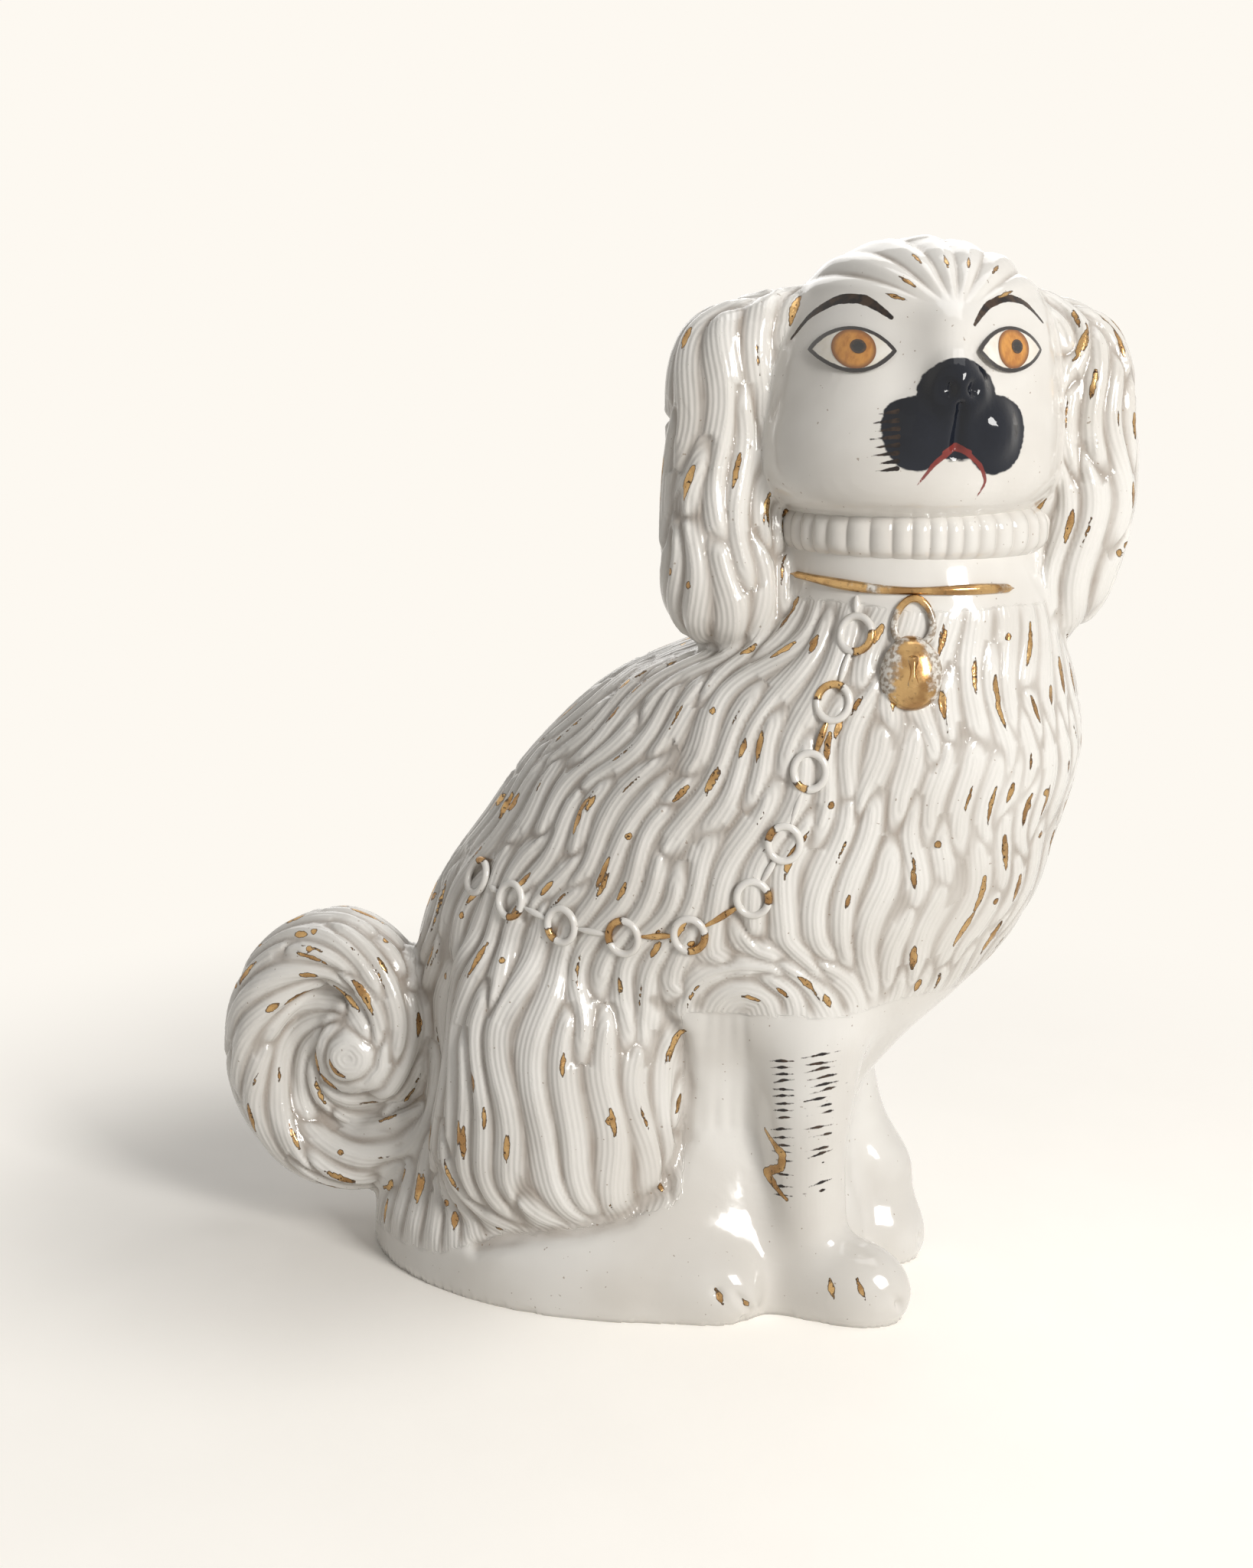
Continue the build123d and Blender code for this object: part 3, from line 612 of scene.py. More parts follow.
# The crease round the front and the foot of each haunch
HAUNCH_EDGE = [
    (13, 99), (19.5, 86), (21.5, 68), (20.5, 52), (15.5, 39), (5, 31), (-9, 27), (-26, 24), (-42, 18),
]
rut = np.zeros(len(points))
for start, end in zip(HAUNCH_EDGE, HAUNCH_EDGE[1:]):
    start, end = on_side(*start)[0], on_side(*end)[0]
    for side in (1, -1):
        rut = np.maximum(rut, slit(start * (1, side, 1), end * (1, side, 1), 2.0, 2.3))
raise_by -= rut * step(102, 92, points[:, 2])
# The crease is darkened with dirt and painted shade as well
groove = np.maximum(groove, 0.8 * step(0.8, 2.2, rut))

# Faint flutes that fan down the hollow between haunch and foreleg
for side in (1, -1):
    for foot, top in ((25, 28), (29, 31.5), (33.5, 35), (38, 38.5)):
        start, end = on_side(top, 94)[0] * (1, side, 1), on_side(foot, 56)[0] * (1, side, 1)
        raise_by -= slit(start, end, 1.2, 0.45)

points += normals * raise_by[:, None]
points = np.clip(points, np.array(cad_box[0]) / MM, np.array(cad_box[1]) / MM)
points[:, 2] = np.where(points[:, 2] < 1.0, 0.0, points[:, 2])
fine.vertices.foreach_set("co", points.astype(np.float32).ravel())
fine.update()
normals = vertex_rows("normal")
polygons = [tuple(p.vertices) for p in fine.polygons]
skin_tree = BVHTree.FromPolygons(points.tolist(), polygons)


# Brushwork: each stroke is a row of round touches (place and radius) on the skin
UNPAINTED, TOUCH_GAP, TOUCH_CELL, TOUCH_NEIGHBOURS = -3.0, 0.45, 4, 5


def touches(path, widths):
    """A brush stroke along a path of places, as touches whose radius follows the widths."""
    path = np.asarray(path, float)
    run = np.concatenate([[0], np.cumsum(np.linalg.norm(np.diff(path, axis=0), axis=1))])
    at = np.linspace(0, run[-1], max(2, int(run[-1] / TOUCH_GAP)))
    spots = np.stack([np.interp(at, run, path[:, k]) for k in range(3)], -1)
    radius = np.interp(at / run[-1], np.linspace(0, 1, len(widths)), widths) / 2
    return list(zip(spots, radius))


def painted(strokes):
    """How far each place of the skin lies outside the brush strokes, up to a limit."""
    spots = [touch for stroke in strokes for touch in stroke]
    tree = tree_of([spot for spot, _ in spots])
    cells = {tuple(np.floor(spot / TOUCH_CELL).astype(int) + shift) for spot, _ in spots for shift in AROUND}
    out = np.full(len(points), -UNPAINTED)
    for i, key in enumerate(map(tuple, np.floor(points / TOUCH_CELL).astype(int))):
        if key in cells:
            found = tree.find_n(points[i], TOUCH_NEIGHBOURS)
            out[i] = min(out[i], min(distance - spots[n][1] for _, n, distance in found))
    return out


def face_path(*places):
    """A path on the face from places to the viewer's right and above the neck joint, rounded off."""
    rows = np.asarray(places, float)
    at = np.linspace(0, len(rows) - 1, 24)
    smooth = np.stack([np.interp(at, np.arange(len(rows)), rows[:, k]) for k in range(2)], -1)
    for _ in range(3):
        smooth[1:-1] = (smooth[:-2] + 2 * smooth[1:-1] + smooth[2:]) / 4
    return [on_face(a, b, skin_tree)[0] for a, b in smooth]


def side_path(*places):
    """A path on the side on show through places at x and z."""
    return [on_side(x, z, skin_tree)[0] for x, z in places]


def laid(path, tree):
    """The places of a path moved to the nearest ones of the skin."""
    return np.array([tree.find_nearest(p.tolist())[0] for p in path])


EYE_RISE, EYE_SPREAD = 81.0, (-26.0, 16.8)
BROWS = [
    (((-39.5, 84), (-35, 90.5), (-28.5, 95), (-22, 95), (-16, 90)), (1.3, 2.6, 3.4, 3.2, 1.5)),
    (((5.5, 88), (11, 93.5), (17.5, 95.5), (24, 94), (30, 88.5)), (1.2, 2.3, 2.7, 2.3, 1.2)),
]
MOUTH = [
    (((-1, 55), (-6, 51), (-11, 44.5)), (2.0, 1.5, 0.5)),
    (((2, 54.5), (7, 50.5), (9, 46), (6.5, 41)), (1.8, 1.5, 1.3, 0.5)),
    (((-3.5, 54), (0, 55.5), (3.5, 54)), (1.5, 2.6, 1.5)),
]
WHISKERS = [(65, 2.5), (62.6, 4), (60.4, 3.5), (58.2, 5), (56, 4), (53.8, 4.5), (51.6, 3), (49.6, 3.5)]
gilt = []
ink = [touches(face_path(*path), widths) for path, widths in BROWS]
for height, length in WHISKERS:
    ink.append(touches(face_path((-16, height), (-18 - length, height - 0.9)), (1.6, 0.5)))
rouge = [touches(face_path(*path), widths) for path, widths in MOUTH]

# Hatching and the gilt zigzag on the near foreleg
for row in range(21):
    height = 37 + row * 2.3
    for left, right in ((47.5 + rng.uniform(-1, 1), 54), (57 + rng.uniform(-1, 2), 69 + rng.uniform(-4, 1))):
        if rng.random() < 0.85:
            rise = rng.uniform(0.8, 2.6)
            middle = ((left + right) / 2, height + rise * 0.7)
            path = side_path((left, height), middle, (right, height + rise))
            ink.append(touches(path, (0.5, 1.25, 0.45)))
zigzag = side_path((44.5, 56.5), (50.5, 51), (50, 46.5), (45, 43), (52, 36.8))
gilt.append(touches(zigzag, (1.6, 3.2, 3.0, 3.4, 1.5)))
for dab in (((33, 13), (35.5, 8)), ((74, 16), (77, 10)), ((66, 15), (67.5, 9.5)), ((41, 9), (42.5, 6))):
    gilt.append(touches(side_path(*dab), (0.9, 2.4, 0.8)))

# Gilt dabs along the locks, more of them where the decorator's brush passed most
GILT_CHANCE = {"flank": 0.55, "chest": 0.5, "haunch": 0.55, "ear": 0.55, "tail": 0.7}
ROUND_DAB = 2.6
for lock in locks:
    for _ in range(2 if lock.kind == "chest" else 3):
        if rng.random() < GILT_CHANCE[lock.kind]:
            length = int(rng.integers(4, 10))
            first = int(rng.integers(0, max(1, len(lock.points) - length)))
            path = lock.points[first:first + length]
            if len(path) < 3:
                continue
            drift = np.cross(path[-1] - path[0], [0, 1, 0])
            path = laid(path + unit(drift) * rng.uniform(-1.6, 1.6), skin_tree)
            wide = rng.choice([rng.uniform(1.7, 2.8), rng.uniform(0.9, 1.3), ROUND_DAB], p=[0.5, 0.36, 0.14])
            if wide == ROUND_DAB:
                path = path[:2]
            gilt.append(touches(path, (wide * 0.5, wide, wide * 0.85, wide * 0.3)))
for lock in crown_locks[2:-2]:
    first = int(rng.integers(8, 16))
    gilt.append(touches(laid(lock.points[first:first + 7], skin_tree), (0.4, 1.5, 0.3)))
gilt_gap, ink_gap, rouge_gap = painted(gilt), painted(ink), painted(rouge)

# The black of the nose and the flews
muzzle_gap = np.minimum(fields["muzzle"], fields["nose"])
black_gap = np.where((head_spots[:, 1] < -20) & (head_spots[:, 2] > 44), muzzle_gap - 2.2, 3.0).clip(-3, 3)
lateral, rise = head_spots[:, 0], head_spots[:, 2]
brushed = np.hypot(lateral / 1.15, rise - 70) - 10
for middle in (-10.5, 10.5):
    brushed = np.minimum(brushed, np.hypot(lateral - middle, rise - 57) - 12.5)
black_gap = np.maximum(black_gap, brushed.clip(-3, 3))


# Materials


class Graph:
    """The nodes of a material or of the world, added one at a time."""

    def __init__(self, owner, shader="Principled BSDF"):
        owner.use_nodes = True
        self.owner, self.tree = owner, owner.node_tree
        self.shader = self.tree.nodes[shader]

    def place(self):
        """Where a point lies on its object."""
        return self.add("ShaderNodeTexCoord").outputs["Object"]

    def add(self, kind, values=(), **settings):
        """A new node with its settings and with numbers or links for its sockets, by name or place."""
        made = self.tree.nodes.new(kind)
        for key, value in settings.items():
            setattr(made, key, value)
        for key, value in dict(values).items():
            self.put(made.inputs[key], value)
        return made

    def put(self, socket, value):
        """A number, a colour or a link on a socket."""
        if isinstance(value, bpy.types.NodeSocket):
            self.tree.links.new(value, socket)
        elif isinstance(value, tuple) and len(socket.default_value) == 4:
            socket.default_value = (*value, 1)
        else:
            socket.default_value = value

    def math(self, operation, a, b=0.0):
        """The result of one operation on numbers."""
        return self.add("ShaderNodeMath", {0: a, 1: b}, operation=operation).outputs[0]

    def ramp(self, value, low, high, start=0.0, end=1.0):
        """A value carried smoothly from one range to another."""
        sockets = {"Value": value, "From Min": low, "From Max": high, "To Min": start, "To Max": end}
        return self.add("ShaderNodeMapRange", sockets, interpolation_type="SMOOTHSTEP").outputs["Result"]

    def noise(self, scale, detail=2.0, rough=0.5, stretch=(1, 1, 1)):
        """A cloudy value between 0 and 1."""
        moved = self.add("ShaderNodeMapping", {"Vector": self.place(), "Scale": stretch}).outputs[0]
        sockets = {"Vector": moved, "Scale": scale, "Detail": detail, "Roughness": rough}
        return self.add("ShaderNodeTexNoise", sockets).outputs[0]

    def wobble(self, *noise):
        """A cloudy value that swings about zero."""
        return self.math("SUBTRACT", self.noise(*noise), 0.5)

    def mix(self, part, a, b):
        """Two colours mixed."""
        return self.add("ShaderNodeMix", {0: part, 6: a, 7: b}, data_type="RGBA").outputs[2]

    def blend(self, part, a, b):
        """Two numbers mixed."""
        return self.add("ShaderNodeMix", {0: part, 2: a, 3: b}, data_type="FLOAT").outputs[0]

    def attribute(self, name):
        """A value kept in the mesh, or 0 where the mesh has none."""
        return self.add("ShaderNodeAttribute", attribute_name=name).outputs["Fac"]

    def ragged(self, name, wobble, amount):
        """A value kept in the mesh, with its edges broken up."""
        return self.math("ADD", self.attribute(name), self.math("MULTIPLY", wobble, amount))

    def seen(self):
        """1 for the camera's rays, also by way of gloss or glass, and 0 for rays that carry light."""
        rays = self.add("ShaderNodeLightPath").outputs
        direct = self.math("MAXIMUM", rays["Is Camera Ray"], rays["Is Glossy Ray"])
        return self.math("MAXIMUM", direct, rays["Is Transmission Ray"])

    def finish(self, **sockets):
        """The material or world, with its shader's sockets set."""
        for key, value in sockets.items():
            self.put(self.shader.inputs[key.replace("_", " ")], value)
        return self.owner


def bumped(graph, height, distance, strength, under=None):
    """A normal raised by a height."""
    sockets = {"Height": height, "Distance": distance * MM, "Strength": strength}
    if under is not None:
        sockets["Normal"] = under
    return graph.add("ShaderNodeBump", sockets).outputs["Normal"]


def gold_colours(graph, burnt=1.0):
    """Worn liquid gold: bright, coppery and burnt patches, and how rough it is."""
    cloud, grain = graph.noise(140, 3), graph.noise(900, 2)
    colour = graph.mix(graph.ramp(cloud, 0.38, 0.62), (0.56, 0.36, 0.155), (0.33, 0.185, 0.072))
    colour = graph.mix(graph.ramp(grain, 0.60, 0.70, 0, burnt), colour, (0.035, 0.018, 0.009))
    return colour, graph.ramp(grain, 0.3, 0.7, 0.12, 0.2 + 0.2 * burnt)


def glazed(name):
    """White glaze over moulded clay, with the enamel and gilding brushed on it, and its grooves darkened with
    dirt and painted shade.
    """
    g = Graph(bpy.data.materials.new(name))
    cloud, patch, speck = g.noise(26, 3), g.noise(9, 2), g.noise(760, 1, 0.3)
    groove, across = g.attribute("groove"), g.attribute("across")
    clay = g.mix(g.ramp(cloud, 0.35, 0.68), (0.765, 0.748, 0.716), (0.665, 0.64, 0.602))
    clay = g.mix(g.math("MULTIPLY", g.ramp(patch, 0.45, 0.7), 0.35), clay, (0.62, 0.58, 0.52))
    # Grooves darkened towards taupe: dirt in the glaze together with painted shade in the hollows
    grime_and_painted_shade = g.math("MULTIPLY", groove, g.ramp(g.noise(70, 3), 0.25, 0.7, 0.5, 0.92))
    clay = g.mix(grime_and_painted_shade, clay, (0.33, 0.28, 0.235))
    clay = g.mix(g.ramp(speck, 0.775, 0.79, 0, 0.6), clay, (0.22, 0.15, 0.09))
    rough = g.ramp(cloud, 0.3, 0.7, 0.08, 0.15)

    edge = g.wobble(520, 2)
    black = g.ramp(g.ragged("black", g.wobble(300, 2, 0.5, (1, 1, 2.6)), 0.9), -0.1, 0.3)
    colour = g.mix(black, clay, g.mix(g.ramp(cloud, 0.3, 0.7), (0.006, 0.008, 0.014), (0.014, 0.017, 0.026)))
    colour = g.mix(g.ramp(g.ragged("rouge", edge, 0.5), 0.0, 0.25), colour, (0.20, 0.035, 0.03))
    ink = g.ramp(g.ragged("ink", edge, 0.5), 0.0, 0.2)
    thin = g.ramp(g.noise(300), 0.4, 0.65)
    colour = g.mix(ink, colour, g.mix(thin, (0.014, 0.010, 0.010), (0.055, 0.032, 0.02)))
    dark = g.math("MAXIMUM", black, ink)
    inside = g.ragged("gilt", edge, 0.9)
    gilt = g.ramp(inside, 0.0, 0.14)
    gold, gold_rough = gold_colours(g)
    gold = g.mix(g.ramp(inside, 0.12, 0.42), (0.06, 0.032, 0.015), gold)
    colour = g.mix(gilt, colour, gold)

    strands = g.math("SINE", g.math("MULTIPLY", across, 3.9))
    skin = bumped(g, g.noise(210, 3), 0.13, g.blend(black, 0.6, 0.25))
    skin = bumped(g, g.math("MULTIPLY", strands, g.ramp(across, 0.0, 0.6)), 0.10, 0.6, skin)
    return g.finish(
        Base_Color=colour,
        Roughness=g.blend(gilt, g.blend(black, rough, 0.06), gold_rough),
        Metallic=g.math("MULTIPLY", gilt, g.ramp(inside, 0.1, 0.4, 0.2, 0.85)),
        Coat_Weight=g.blend(gilt, g.blend(dark, 0.5, 0.15), 0.1),
        Coat_Roughness=0.04,
        Specular_IOR_Level=g.blend(dark, 0.5, 0.25),
        Normal=skin,
    )


def gilded(name):
    """Worn gold on raised work, rubbed through to the glaze at its edges."""
    g = Graph(bpy.data.materials.new(name))
    gold, rough = gold_colours(g, 0.3)
    bare = g.ramp(g.ragged("rub", g.wobble(330, 3), 0.9), 0.72, 0.95)
    colour = g.mix(bare, gold, g.mix(g.ramp(g.noise(700), 0.4, 0.6), (0.68, 0.65, 0.60), (0.30, 0.24, 0.18)))
    return g.finish(
        Base_Color=colour,
        Metallic=g.blend(bare, 0.92, 0.0),
        Roughness=g.blend(bare, rough, 0.2),
        Coat_Weight=0.2,
        Normal=bumped(g, g.noise(420, 2), 0.06, 0.5),
    )


def eye_enamel(name):
    """Glazed eyeball with its painted outline."""
    g = Graph(bpy.data.materials.new(name))
    rim = g.ragged("rim", g.wobble(400), 0.35)
    white = g.mix(g.ramp(g.noise(160, 3), 0.35, 0.65), (0.80, 0.77, 0.71), (0.72, 0.67, 0.58))
    colour = g.mix(g.ramp(rim, 1.15, 0.9), white, (0.014, 0.010, 0.010))
    bump = bumped(g, g.noise(260), 0.08, 0.5)
    return g.finish(Base_Color=colour, Roughness=0.1, Coat_Weight=0.6, Coat_Roughness=0.04, Normal=bump)


def amber_enamel(name):
    """Amber iris, darker at its edge and streaked where the brush turned."""
    g = Graph(bpy.data.materials.new(name))
    streak = g.noise(420, 3, 0.6, (1, 1, 0.5))
    colour = g.mix(g.ramp(streak, 0.35, 0.7), (0.60, 0.265, 0.045), (0.42, 0.155, 0.022))
    colour = g.mix(g.ramp(g.attribute("rim"), 0.72, 1.0), colour, (0.20, 0.07, 0.015))
    bump = bumped(g, streak, 0.06, 0.5)
    return g.finish(Base_Color=colour, Roughness=0.12, Coat_Weight=0.5, Coat_Roughness=0.04, Normal=bump)


def pupil_enamel(name):
    """Black pupil, thin and brown towards its edge."""
    g = Graph(bpy.data.materials.new(name))
    colour = g.mix(g.ramp(g.attribute("rim"), 0.55, 1.0), (0.008, 0.007, 0.007), (0.06, 0.028, 0.012))
    colour = g.mix(g.ramp(g.noise(900), 0.6, 0.7, 0, 0.5), colour, (0.10, 0.05, 0.02))
    bump = bumped(g, g.noise(600), 0.05, 0.5)
    return g.finish(Base_Color=colour, Roughness=0.1, Coat_Weight=0.6, Normal=bump)


FINISHES = {
    "white_glaze": glazed("white_glaze"),
    "black_enamel": glazed("black_enamel"),
    "gilt": gilded("gilt"),
    "eye_white": eye_enamel("eye_white"),
    "amber_enamel": amber_enamel("amber_enamel"),
    "pupil_enamel": pupil_enamel("pupil_enamel"),
}


# Pieces

PAINTS = ("gilt", "ink", "rouge", "black")


def added(name, data):
    """A new object in the scene."""
    thing = bpy.data.objects.new(name, data)
    bpy.context.collection.objects.link(thing)
    return thing


def make(node, places, polygons, slot, directions=None, **attributes):
    """One finished piece, which stands for the CAD node of that name."""
    mesh = bpy.data.meshes.new(f"{node}_finished")
    mesh.from_pydata((np.asarray(places) * MM).tolist(), [], polygons)
    mesh.polygons.foreach_set("use_smooth", np.ones(len(mesh.polygons), bool))
    if slot in ("white_glaze", "black_enamel"):
        attributes = {**{paint: np.full(len(places), UNPAINTED) for paint in PAINTS}, **attributes}
    for key, values in attributes.items():
        layer = mesh.attributes.new(key, "FLOAT", "POINT")
        layer.data.foreach_set("value", np.asarray(values, np.float32).ravel())
    if directions is not None:
        mesh.normals_split_custom_set_from_vertices(directions.tolist())
    piece = added(f"{node}_finished", mesh)
    piece.data.materials.append(FINISHES[slot])
    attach(piece, "root")
    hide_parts(node)


# The skin, cut into the pieces of the frame
regions = sorted(fields)
belongs = np.array(regions)[np.argmin([fields[r] for r in regions], 0)]
near_side = points[:, 1] < 0
nodes = np.where(near_side, "body_near_half", "body_far_half").astype(object)
for region, split, first, second in (
    ("hind_paw", near_side, "near_hind_paw", "far_hind_paw"),
    ("foreleg", points[:, 1] < -8, "near_foreleg", "far_foreleg"),
    ("forepaw", points[:, 1] < -12, "near_foreleg", "far_foreleg"),
    ("tail", near_side, "tail_curl", "tail_curl"),
    ("head", head_spots[:, 1] < 0, "head_front", "head_back"),
    ("ear", head_spots[:, 0] < 0, "near_ear", "far_ear"),
    ("muzzle", near_side, "muzzle", "muzzle"),
    ("nose", near_side, "nose_pad", "nose_pad"),
):
    here = belongs == region
    nodes[here] = np.where(split[here], first, second)
inner_floor = ((points[:, 0] + 8) / 76) ** 2 + (points[:, 1] / 55) ** 2 < 1
nodes[(points[:, 2] < 7.5) & inner_floor & (fields["body"] < 1.0) & (normals[:, 2] < 0.5)] = "base_slab"

attributes = {
    "groove": groove,
    "across": np.where(depth > 0.3, near, 0.0),
    "gilt": -gilt_gap,
    "ink": -ink_gap,
    "rouge": -rouge_gap,
    "black": -black_gap,
}
piece_of = nodes[[p[0] for p in polygons]]
for node in sorted(set(piece_of)):
    chosen = [polygons[i] for i in np.flatnonzero(piece_of == node)]
    used = np.unique(np.concatenate([np.array(p) for p in chosen]))
    place_of = np.zeros(len(points), int)
    place_of[used] = np.arange(len(used))
    slot = "black_enamel" if node in ("muzzle", "nose_pad") else "white_glaze"
    chosen = [tuple(place_of[list(p)]) for p in chosen]
    paints = {key: values[used] for key, values in attributes.items()}
    make(node, points[used], chosen, slot, normals[used], **paints)


def joined(*grids, around=False, along=False, capped=False):
    """Grids of places as one list of places and one of polygons.

    Each grid is closed round its columns, along its rows or over its first row if asked.
    """
    places, polygons, total = [], [], 0
    for grid in map(np.asarray, grids):
        m, n = grid.shape[:2]
        for i in range(m if along else m - 1):
            for j in range(n if around else n - 1):
                a, b = (i + 1) % m, (j + 1) % n
                polygons.append(tuple(total + k for k in (i * n + j, i * n + b, a * n + b, a * n + j)))
        if capped:
            polygons.append(tuple(range(total, total + n)))
        places.append(grid.reshape(-1, 3))
        total += m * n
    return np.vstack(places), polygons


WIRE_SIDES = 10


def wire(path, lift, radii, closed=False):
    """A round wire along places of the skin, given with its directions there, and lifted off it."""
    ups = np.array([up for _, up in path])
    path = np.array([place for place, _ in path]) + ups * lift
    ups = unit(ups)
    ahead = np.roll(path, -1, 0) - np.roll(path, 1, 0) if closed else np.gradient(path, axis=0)
    beside = unit(np.cross(unit(ahead), ups))
    turn = np.linspace(0, 2 * math.pi, WIRE_SIDES, endpoint=False)[None, :, None]
    radii = np.broadcast_to(np.asarray(radii, float), len(path))[:, None, None]
    return path[:, None] + radii * (np.cos(turn) * beside[:, None] + np.sin(turn) * ups[:, None])


# Chain: ten rings laid on the coat, with a drop-shaped join between each two
RINGS = [
    (69, 208.5), (64, 190), (58, 171), (51.5, 150), (42.5, 133.4), (24, 121), (4, 118.7), (-15.5, 119.8),
    (-33, 124.6), (-46, 128.3),
]
RING_RADIUS, RING_WIRE, RING_STEPS = 4.6, 1.15, 40
turn = np.linspace(0, 2 * math.pi, RING_STEPS, endpoint=False)
ring_grids, ring_gilt = [], []
for x, z in RINGS:
    middle, _ = on_side(x, z)
    ups = [np.array(tree.find_nearest(middle.tolist())[1]) for tree in (skin_tree, smooth_tree)]
    up = unit(ups[0] + 2 * ups[1])
    side = unit(np.cross(UP, up))
    rise = np.cross(up, side)
    circle = [middle + RING_RADIUS * (side * math.cos(t) + 1.12 * rise * math.sin(t)) for t in turn]
    path = [(place, up) for place in laid(circle, smooth_tree)]
    ring_grids.append(wire(path, 0.75, RING_WIRE, closed=True))
    start, span = rng.uniform(0, 2 * math.pi), rng.uniform(0.8, 2.4)
    arc = np.abs((turn - start + math.pi) % (2 * math.pi) - math.pi)
    ring_gilt.append(np.repeat(span / 2 - arc, WIRE_SIDES) * 2)
rings = joined(*ring_grids, around=True, along=True)
make("chain_rings", *rings, "white_glaze", gilt=np.concatenate(ring_gilt))

CHAIN_START, JOIN_STEPS = (68.8, 219.0), 12
radius = 0.25 + 0.8 * np.sin(np.linspace(0.15, math.pi, JOIN_STEPS)) ** 0.8
join_grids = []
for start, end in zip([CHAIN_START] + RINGS, RINGS):
    start, run = np.array(start), np.subtract(end, start)
    clear = (RING_RADIUS + 0.4) / math.hypot(*run)
    t = np.linspace(clear if join_grids else 0.0, 1 - clear, JOIN_STEPS)
    join_grids.append(wire([on_side(*(start + k * run)) for k in t], 0.5, radius))
join_gilt = rng.choice([-2.0, 0.5], len(join_grids), p=[0.8, 0.2]).repeat(JOIN_STEPS * WIRE_SIDES)
make("chain_joins", *joined(*join_grids, around=True), "white_glaze", gilt=join_gilt)


# Collar: fluted ruff, and the gilt line under it
def outward(angle):
    """The way out of the neck at an angle from straight ahead of the face."""
    return FACING * math.cos(angle) + LATERAL * math.sin(angle)


def throat(angle, height):
    """The skin at an angle round the neck and a height, and the way out there."""
    out = outward(angle)
    start = GROUND + UP * height + out * 90
    return np.array(smooth_tree.ray_cast(start.tolist(), (-out).tolist())[0]), out


def flute(angle):
    """How far out the ruff's flutes stand at an angle, from 0 to 1."""
    return abs(math.sin(angle * RUFF_FLUTES / 2 + 0.9 * math.sin(5 * angle))) ** 0.7


RUFF_LOW, RUFF_HIGH, RUFF_RADIUS, RUFF_FLUTES, RUFF_ROWS = 229.0, 242.5, 39.2, 46, 15
ruff, ruff_groove = [], []
for angle in np.linspace(-1.42, 1.42, 420):
    column = []
    for s in np.linspace(0, 1, RUFF_ROWS):
        puff = 1 - abs(2 * s - 1) ** 3.2
        reach = RUFF_RADIUS + puff * (1.9 + 1.1 * flute(angle)) - 1.2 * (1 - puff)
        column.append(GROUND + UP * (RUFF_LOW + s * (RUFF_HIGH - RUFF_LOW)) + outward(angle) * reach)
    ruff.append(column)
    # Darker between the flutes: dirt and painted shade in their hollows
    ruff_groove.append([(1 - flute(angle)) * 0.4] * RUFF_ROWS)
make("collar_ruff", *joined(ruff), "white_glaze", groove=ruff_groove)

angles = np.linspace(-1.22, 0.56, 120)
line = [throat(a, 221.0 - 1.4 * a + 0.5 * math.sin(4 * a)) for a in angles]
tips = np.clip(np.abs(np.linspace(-1, 1, len(angles))) - 0.93, 0, 1) / 0.07
swell = 1.35 + 0.25 * np.sin(angles * 7) - 1.2 * tips
line_rub = np.repeat(0.35 + 0.5 * np.abs(np.sin(angles * 3.3)) ** 4, WIRE_SIDES)
make("collar_line", *joined(wire(line, 0.3, swell.clip(0.1)), around=True), "gilt", rub=line_rub)


# Padlock: a half egg with its keyhole, hung from the line by a wire loop
LOCK_X, LOCK_Z, LOCK_WIDE, LOCK_TALL, LOCK_HIGH = 85.0, 198.4, 8.8, 10.6, 5.0
lock_place, lock_up = on_side(LOCK_X, LOCK_Z)
lock_side = unit(np.cross(UP, lock_up))
lock_rise = np.cross(lock_up, lock_side)


def on_egg(u, v, lift=0.0):
    """A point of the padlock's front at u across and v up."""
    r = min(1.0, math.hypot(u / LOCK_WIDE, v / LOCK_TALL))
    dome = LOCK_HIGH * (1 - r**2.2) ** 0.5
    return lock_place + lock_side * u + lock_rise * v + lock_up * (dome + lift)


egg, egg_rub = [], []
turn = np.linspace(0, 2 * math.pi, 56, endpoint=False)
for r in np.linspace(0.02, 1, 22) ** 0.8:
    row, rub = [], []
    for t in turn:
        u, v = r * math.cos(t), r * math.sin(t)
        row.append(on_egg(LOCK_WIDE * u * (1 - 0.10 * math.sin(t)), LOCK_TALL * v))
        rub.append(0.2 + 0.95 * abs(u) ** 0.8 + 0.3 * max(0, v))
    egg.append(row)
    egg_rub.append(rub)
egg.append([p - lock_up * 3.0 for p in egg[-1]])
egg_rub.append([1.0] * len(turn))
make("padlock_body", *joined(egg, around=True, capped=True), "gilt", rub=egg_rub)

KEYHOLE_TALL = 4.6
keyhole, keyhole_rub = [], []
for v in np.linspace(-KEYHOLE_TALL, KEYHOLE_TALL, 25):
    end = v / (KEYHOLE_TALL + 0.02)
    half = (0.9 + 1.3 * (abs(v) / KEYHOLE_TALL) ** 1.6) * math.sqrt(max(0.0, 1 - end**8))
    cross = np.linspace(-1, 1, 11)
    keyhole.append([on_egg(half * t, v, 1.25 * (1 - t * t) * (1 - end**6) - 0.1) for t in cross])
    keyhole_rub.append(0.15 + 0.75 * cross**2)
make("padlock_keyhole", *joined(keyhole), "gilt", rub=keyhole_rub)

loop = []
for a in np.linspace(0.45, 2 * math.pi - 0.45, 40):
    across = 5.2 * math.sin(a) * (1 + 0.15 * math.cos(a))
    loop.append(on_side(LOCK_X + across, LOCK_Z + 13.8 - 6.6 * math.cos(a)))
loop_rub = np.repeat(0.8 + 0.3 * np.sin(np.linspace(0, 9, len(loop))), WIRE_SIDES)
make("padlock_shackle", *joined(wire(loop, 0.9, 1.1), around=True), "gilt", rub=loop_rub)


# Eyes
LID_HIGH, LID_LOW = 6.4, 5.9
IRIS_RADIUS, PUPIL_RADIUS = 5.3, 1.9


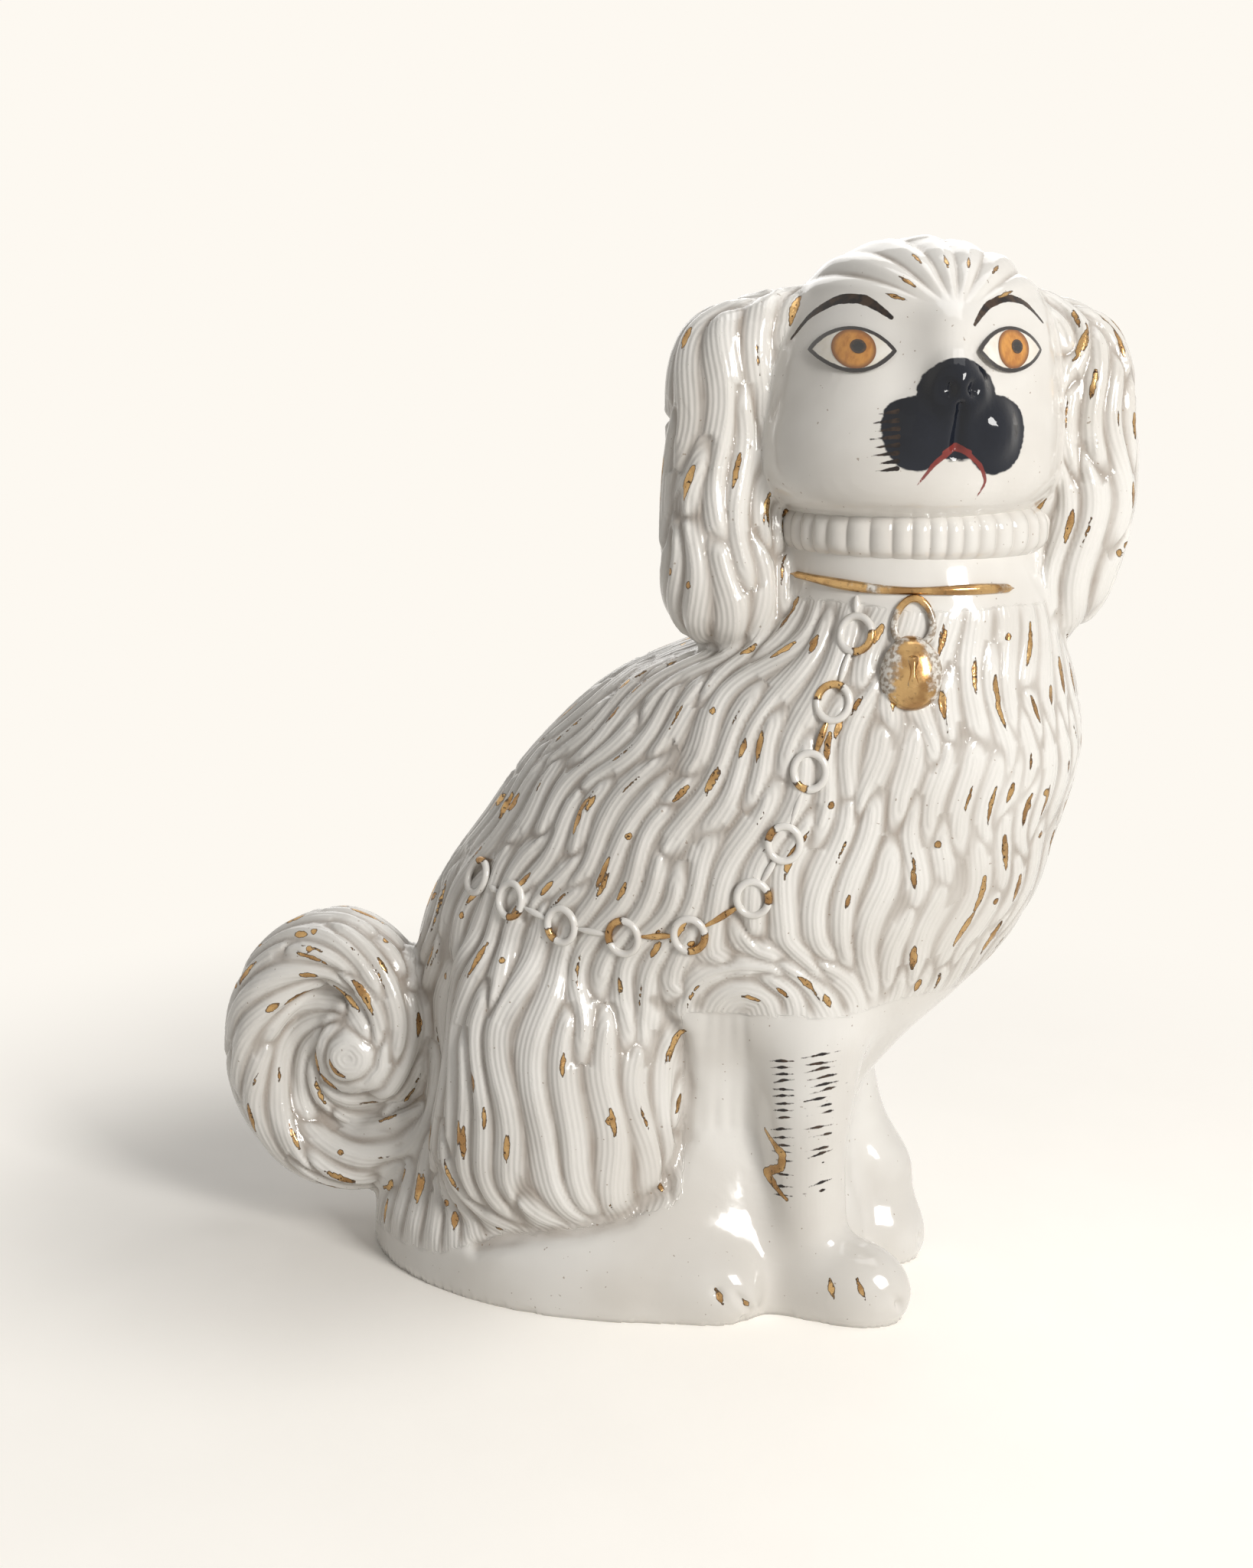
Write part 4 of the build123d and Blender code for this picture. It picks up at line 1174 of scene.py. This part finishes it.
def lids(u, half):
    """The upper and lower lid at u across an eye of some half length."""
    open_by = max(0.0, 1 - (u / half) ** 2) ** 0.85
    return LID_HIGH * open_by, -LID_LOW * open_by


def on_eye(centre, half, u, v, lift):
    """A point of the eye at u across and v up from its middle, lifted off the face."""
    place, direction = on_face(centre + u, EYE_RISE + v)
    bulge = 0.9 * max(0.0, 1 - (u / half) ** 2 - (v / 7.5) ** 2)
    return place + unit(direction) * (bulge + lift)


for side, centre, half in (("near", EYE_SPREAD[0], 10.6), ("far", EYE_SPREAD[1], 11.2)):
    grid, rim = [], []
    for u in half * np.sin(np.linspace(-math.pi / 2, math.pi / 2, 61)):
        high, low = lids(u, half)
        grid.append([on_eye(centre, half, u, low + (high - low) * s, 0.25) for s in np.linspace(0, 1, 31)])
        slope = math.hypot(1, (lids(u + 0.05, half)[0] - high) / 0.05)
        rim.append([min(s, 1 - s) * (high - low) / slope for s in np.linspace(0, 1, 31)])
    make(f"{side}_eye", *joined(grid), "eye_white", rim=rim)
    for name, radius, shift, lift, slot in (
        ("iris", IRIS_RADIUS, (0.3, 0.3), 0.35, "amber_enamel"),
        ("pupil", PUPIL_RADIUS, (1.4, 0.8), 0.45, "pupil_enamel"),
    ):
        disc, ring = [], []
        for r in np.linspace(0.02, 1, 14):
            row = []
            for t in np.linspace(0, 2 * math.pi, 48, endpoint=False):
                u, v = shift[0] + r * radius * math.cos(t), shift[1] + r * radius * math.sin(t)
                high, low = lids(u, half)
                row.append(on_eye(centre, half, u, min(max(v, low + 1.0), high - 1.0), lift))
            disc.append(row)
            ring.append([r] * 48)
        make(f"{side}_{name}", *joined(disc, around=True, capped=True), slot, rim=ring)


# Camera at the photograph's viewing angle
CAMERA_TURN = math.radians(12.0)
CAMERA_TILT = math.radians(12.4)
CAMERA_BACK, CAMERA_HEIGHT, CAMERA_SIDE = 678.0, 302.0, -6.13
SENSOR, FOCAL = 36.0, 51.06

across = np.array([math.cos(CAMERA_TURN), math.sin(CAMERA_TURN), 0])
ahead = np.array([-math.sin(CAMERA_TURN), math.cos(CAMERA_TURN), 0])
camera = added("camera", bpy.data.cameras.new("camera"))
camera.location = (-ahead * CAMERA_BACK + across * CAMERA_SIDE + UP * CAMERA_HEIGHT) * MM
camera.rotation_euler = (math.pi / 2 - CAMERA_TILT, 0, CAMERA_TURN)
camera.data.sensor_fit = "VERTICAL"
camera.data.sensor_height = SENSOR
camera.data.lens = FOCAL
camera.data.clip_start = 0.01
bpy.context.scene.camera = camera

# Stage: a pale floor that runs out into a pale background
BACKDROP = (0.985, 0.945, 0.88)
floor_mesh = bpy.data.meshes.new("floor")
floor_mesh.from_pydata([(-4, -4, 0), (4, -4, 0), (4, 4, 0), (-4, 4, 0)], [], [(0, 1, 2, 3)])
floor = added("floor", floor_mesh)
g = Graph(bpy.data.materials.new("floor"))
paper = g.mix(g.ramp(g.noise(30, 4), 0.3, 0.7), (0.93, 0.90, 0.85), (0.915, 0.885, 0.835))
g.finish(Base_Color=paper, Roughness=0.8, Normal=bumped(g, g.noise(900, 2), 0.05, 0.2))
away = g.add("ShaderNodeVectorMath", {0: g.place()}, operation="LENGTH").outputs["Value"]
seen = g.seen()
glow = g.add("ShaderNodeEmission", {"Color": BACKDROP, "Strength": seen}).outputs[0]
# Painted light on the floor: a glow added for the camera's rays, weakest round the foot of the tail, so the
# floor there stays darker as a painted shadow
tail_foot = {0: g.place(), 1: (-0.12, 0.01, 0)}
behind = g.add("ShaderNodeVectorMath", tail_foot, operation="DISTANCE").outputs["Value"]
lift = g.math("MULTIPLY", seen, g.ramp(behind, 0.06, 0.16, 0.04, 0.25))
lift = g.add("ShaderNodeEmission", {"Color": BACKDROP, "Strength": lift}).outputs[0]
lifted = g.add("ShaderNodeAddShader", {0: g.shader.outputs[0], 1: lift}).outputs[0]
fade = g.math("MULTIPLY", seen, g.ramp(away, 0.15, 0.42))
faded = g.add("ShaderNodeMixShader", {0: fade, 1: lifted, 2: glow}).outputs[0]
g.put(g.tree.nodes["Material Output"].inputs["Surface"], faded)
floor.data.materials.append(g.owner)


def lamp(name, place, aim, energy, wide, tall, colour=(1, 1, 1)):
    """A soft box that looks at a place."""
    light = added(name, bpy.data.lights.new(name, "AREA"))
    light.data.shape = "RECTANGLE"
    light.data.size, light.data.size_y = wide, tall
    light.data.energy, light.data.color = energy, colour
    light.location = place
    way = np.array(aim) - np.array(place)
    tilt = math.atan2(math.hypot(way[0], way[1]), -way[2])
    light.rotation_euler = (tilt, 0, math.atan2(way[1], way[0]) - math.pi / 2)


lamp("window", (1.0, -0.85, 0.74), (0, 0, 0.15), 15.5, 0.36, 0.5, (1, 0.985, 0.96))
lamp("fill", (-0.6, -1.2, 0.7), (0, 0, 0.16), 0.4, 1.2, 1.2)
lamp("top", (0.3, 0.15, 1.3), (0, 0, 0.1), 3.2, 0.8, 0.8)
lamp("back", (-0.35, 1.3, 0.95), (0, 0, 0.15), 4, 1.3, 1.0)

sky = Graph(bpy.data.worlds.new("world"), "Background")
bpy.context.scene.world = sky.finish(Color=sky.mix(sky.seen(), (0.175, 0.172, 0.168), BACKDROP))
bpy.context.scene.view_settings.view_transform = "Standard"
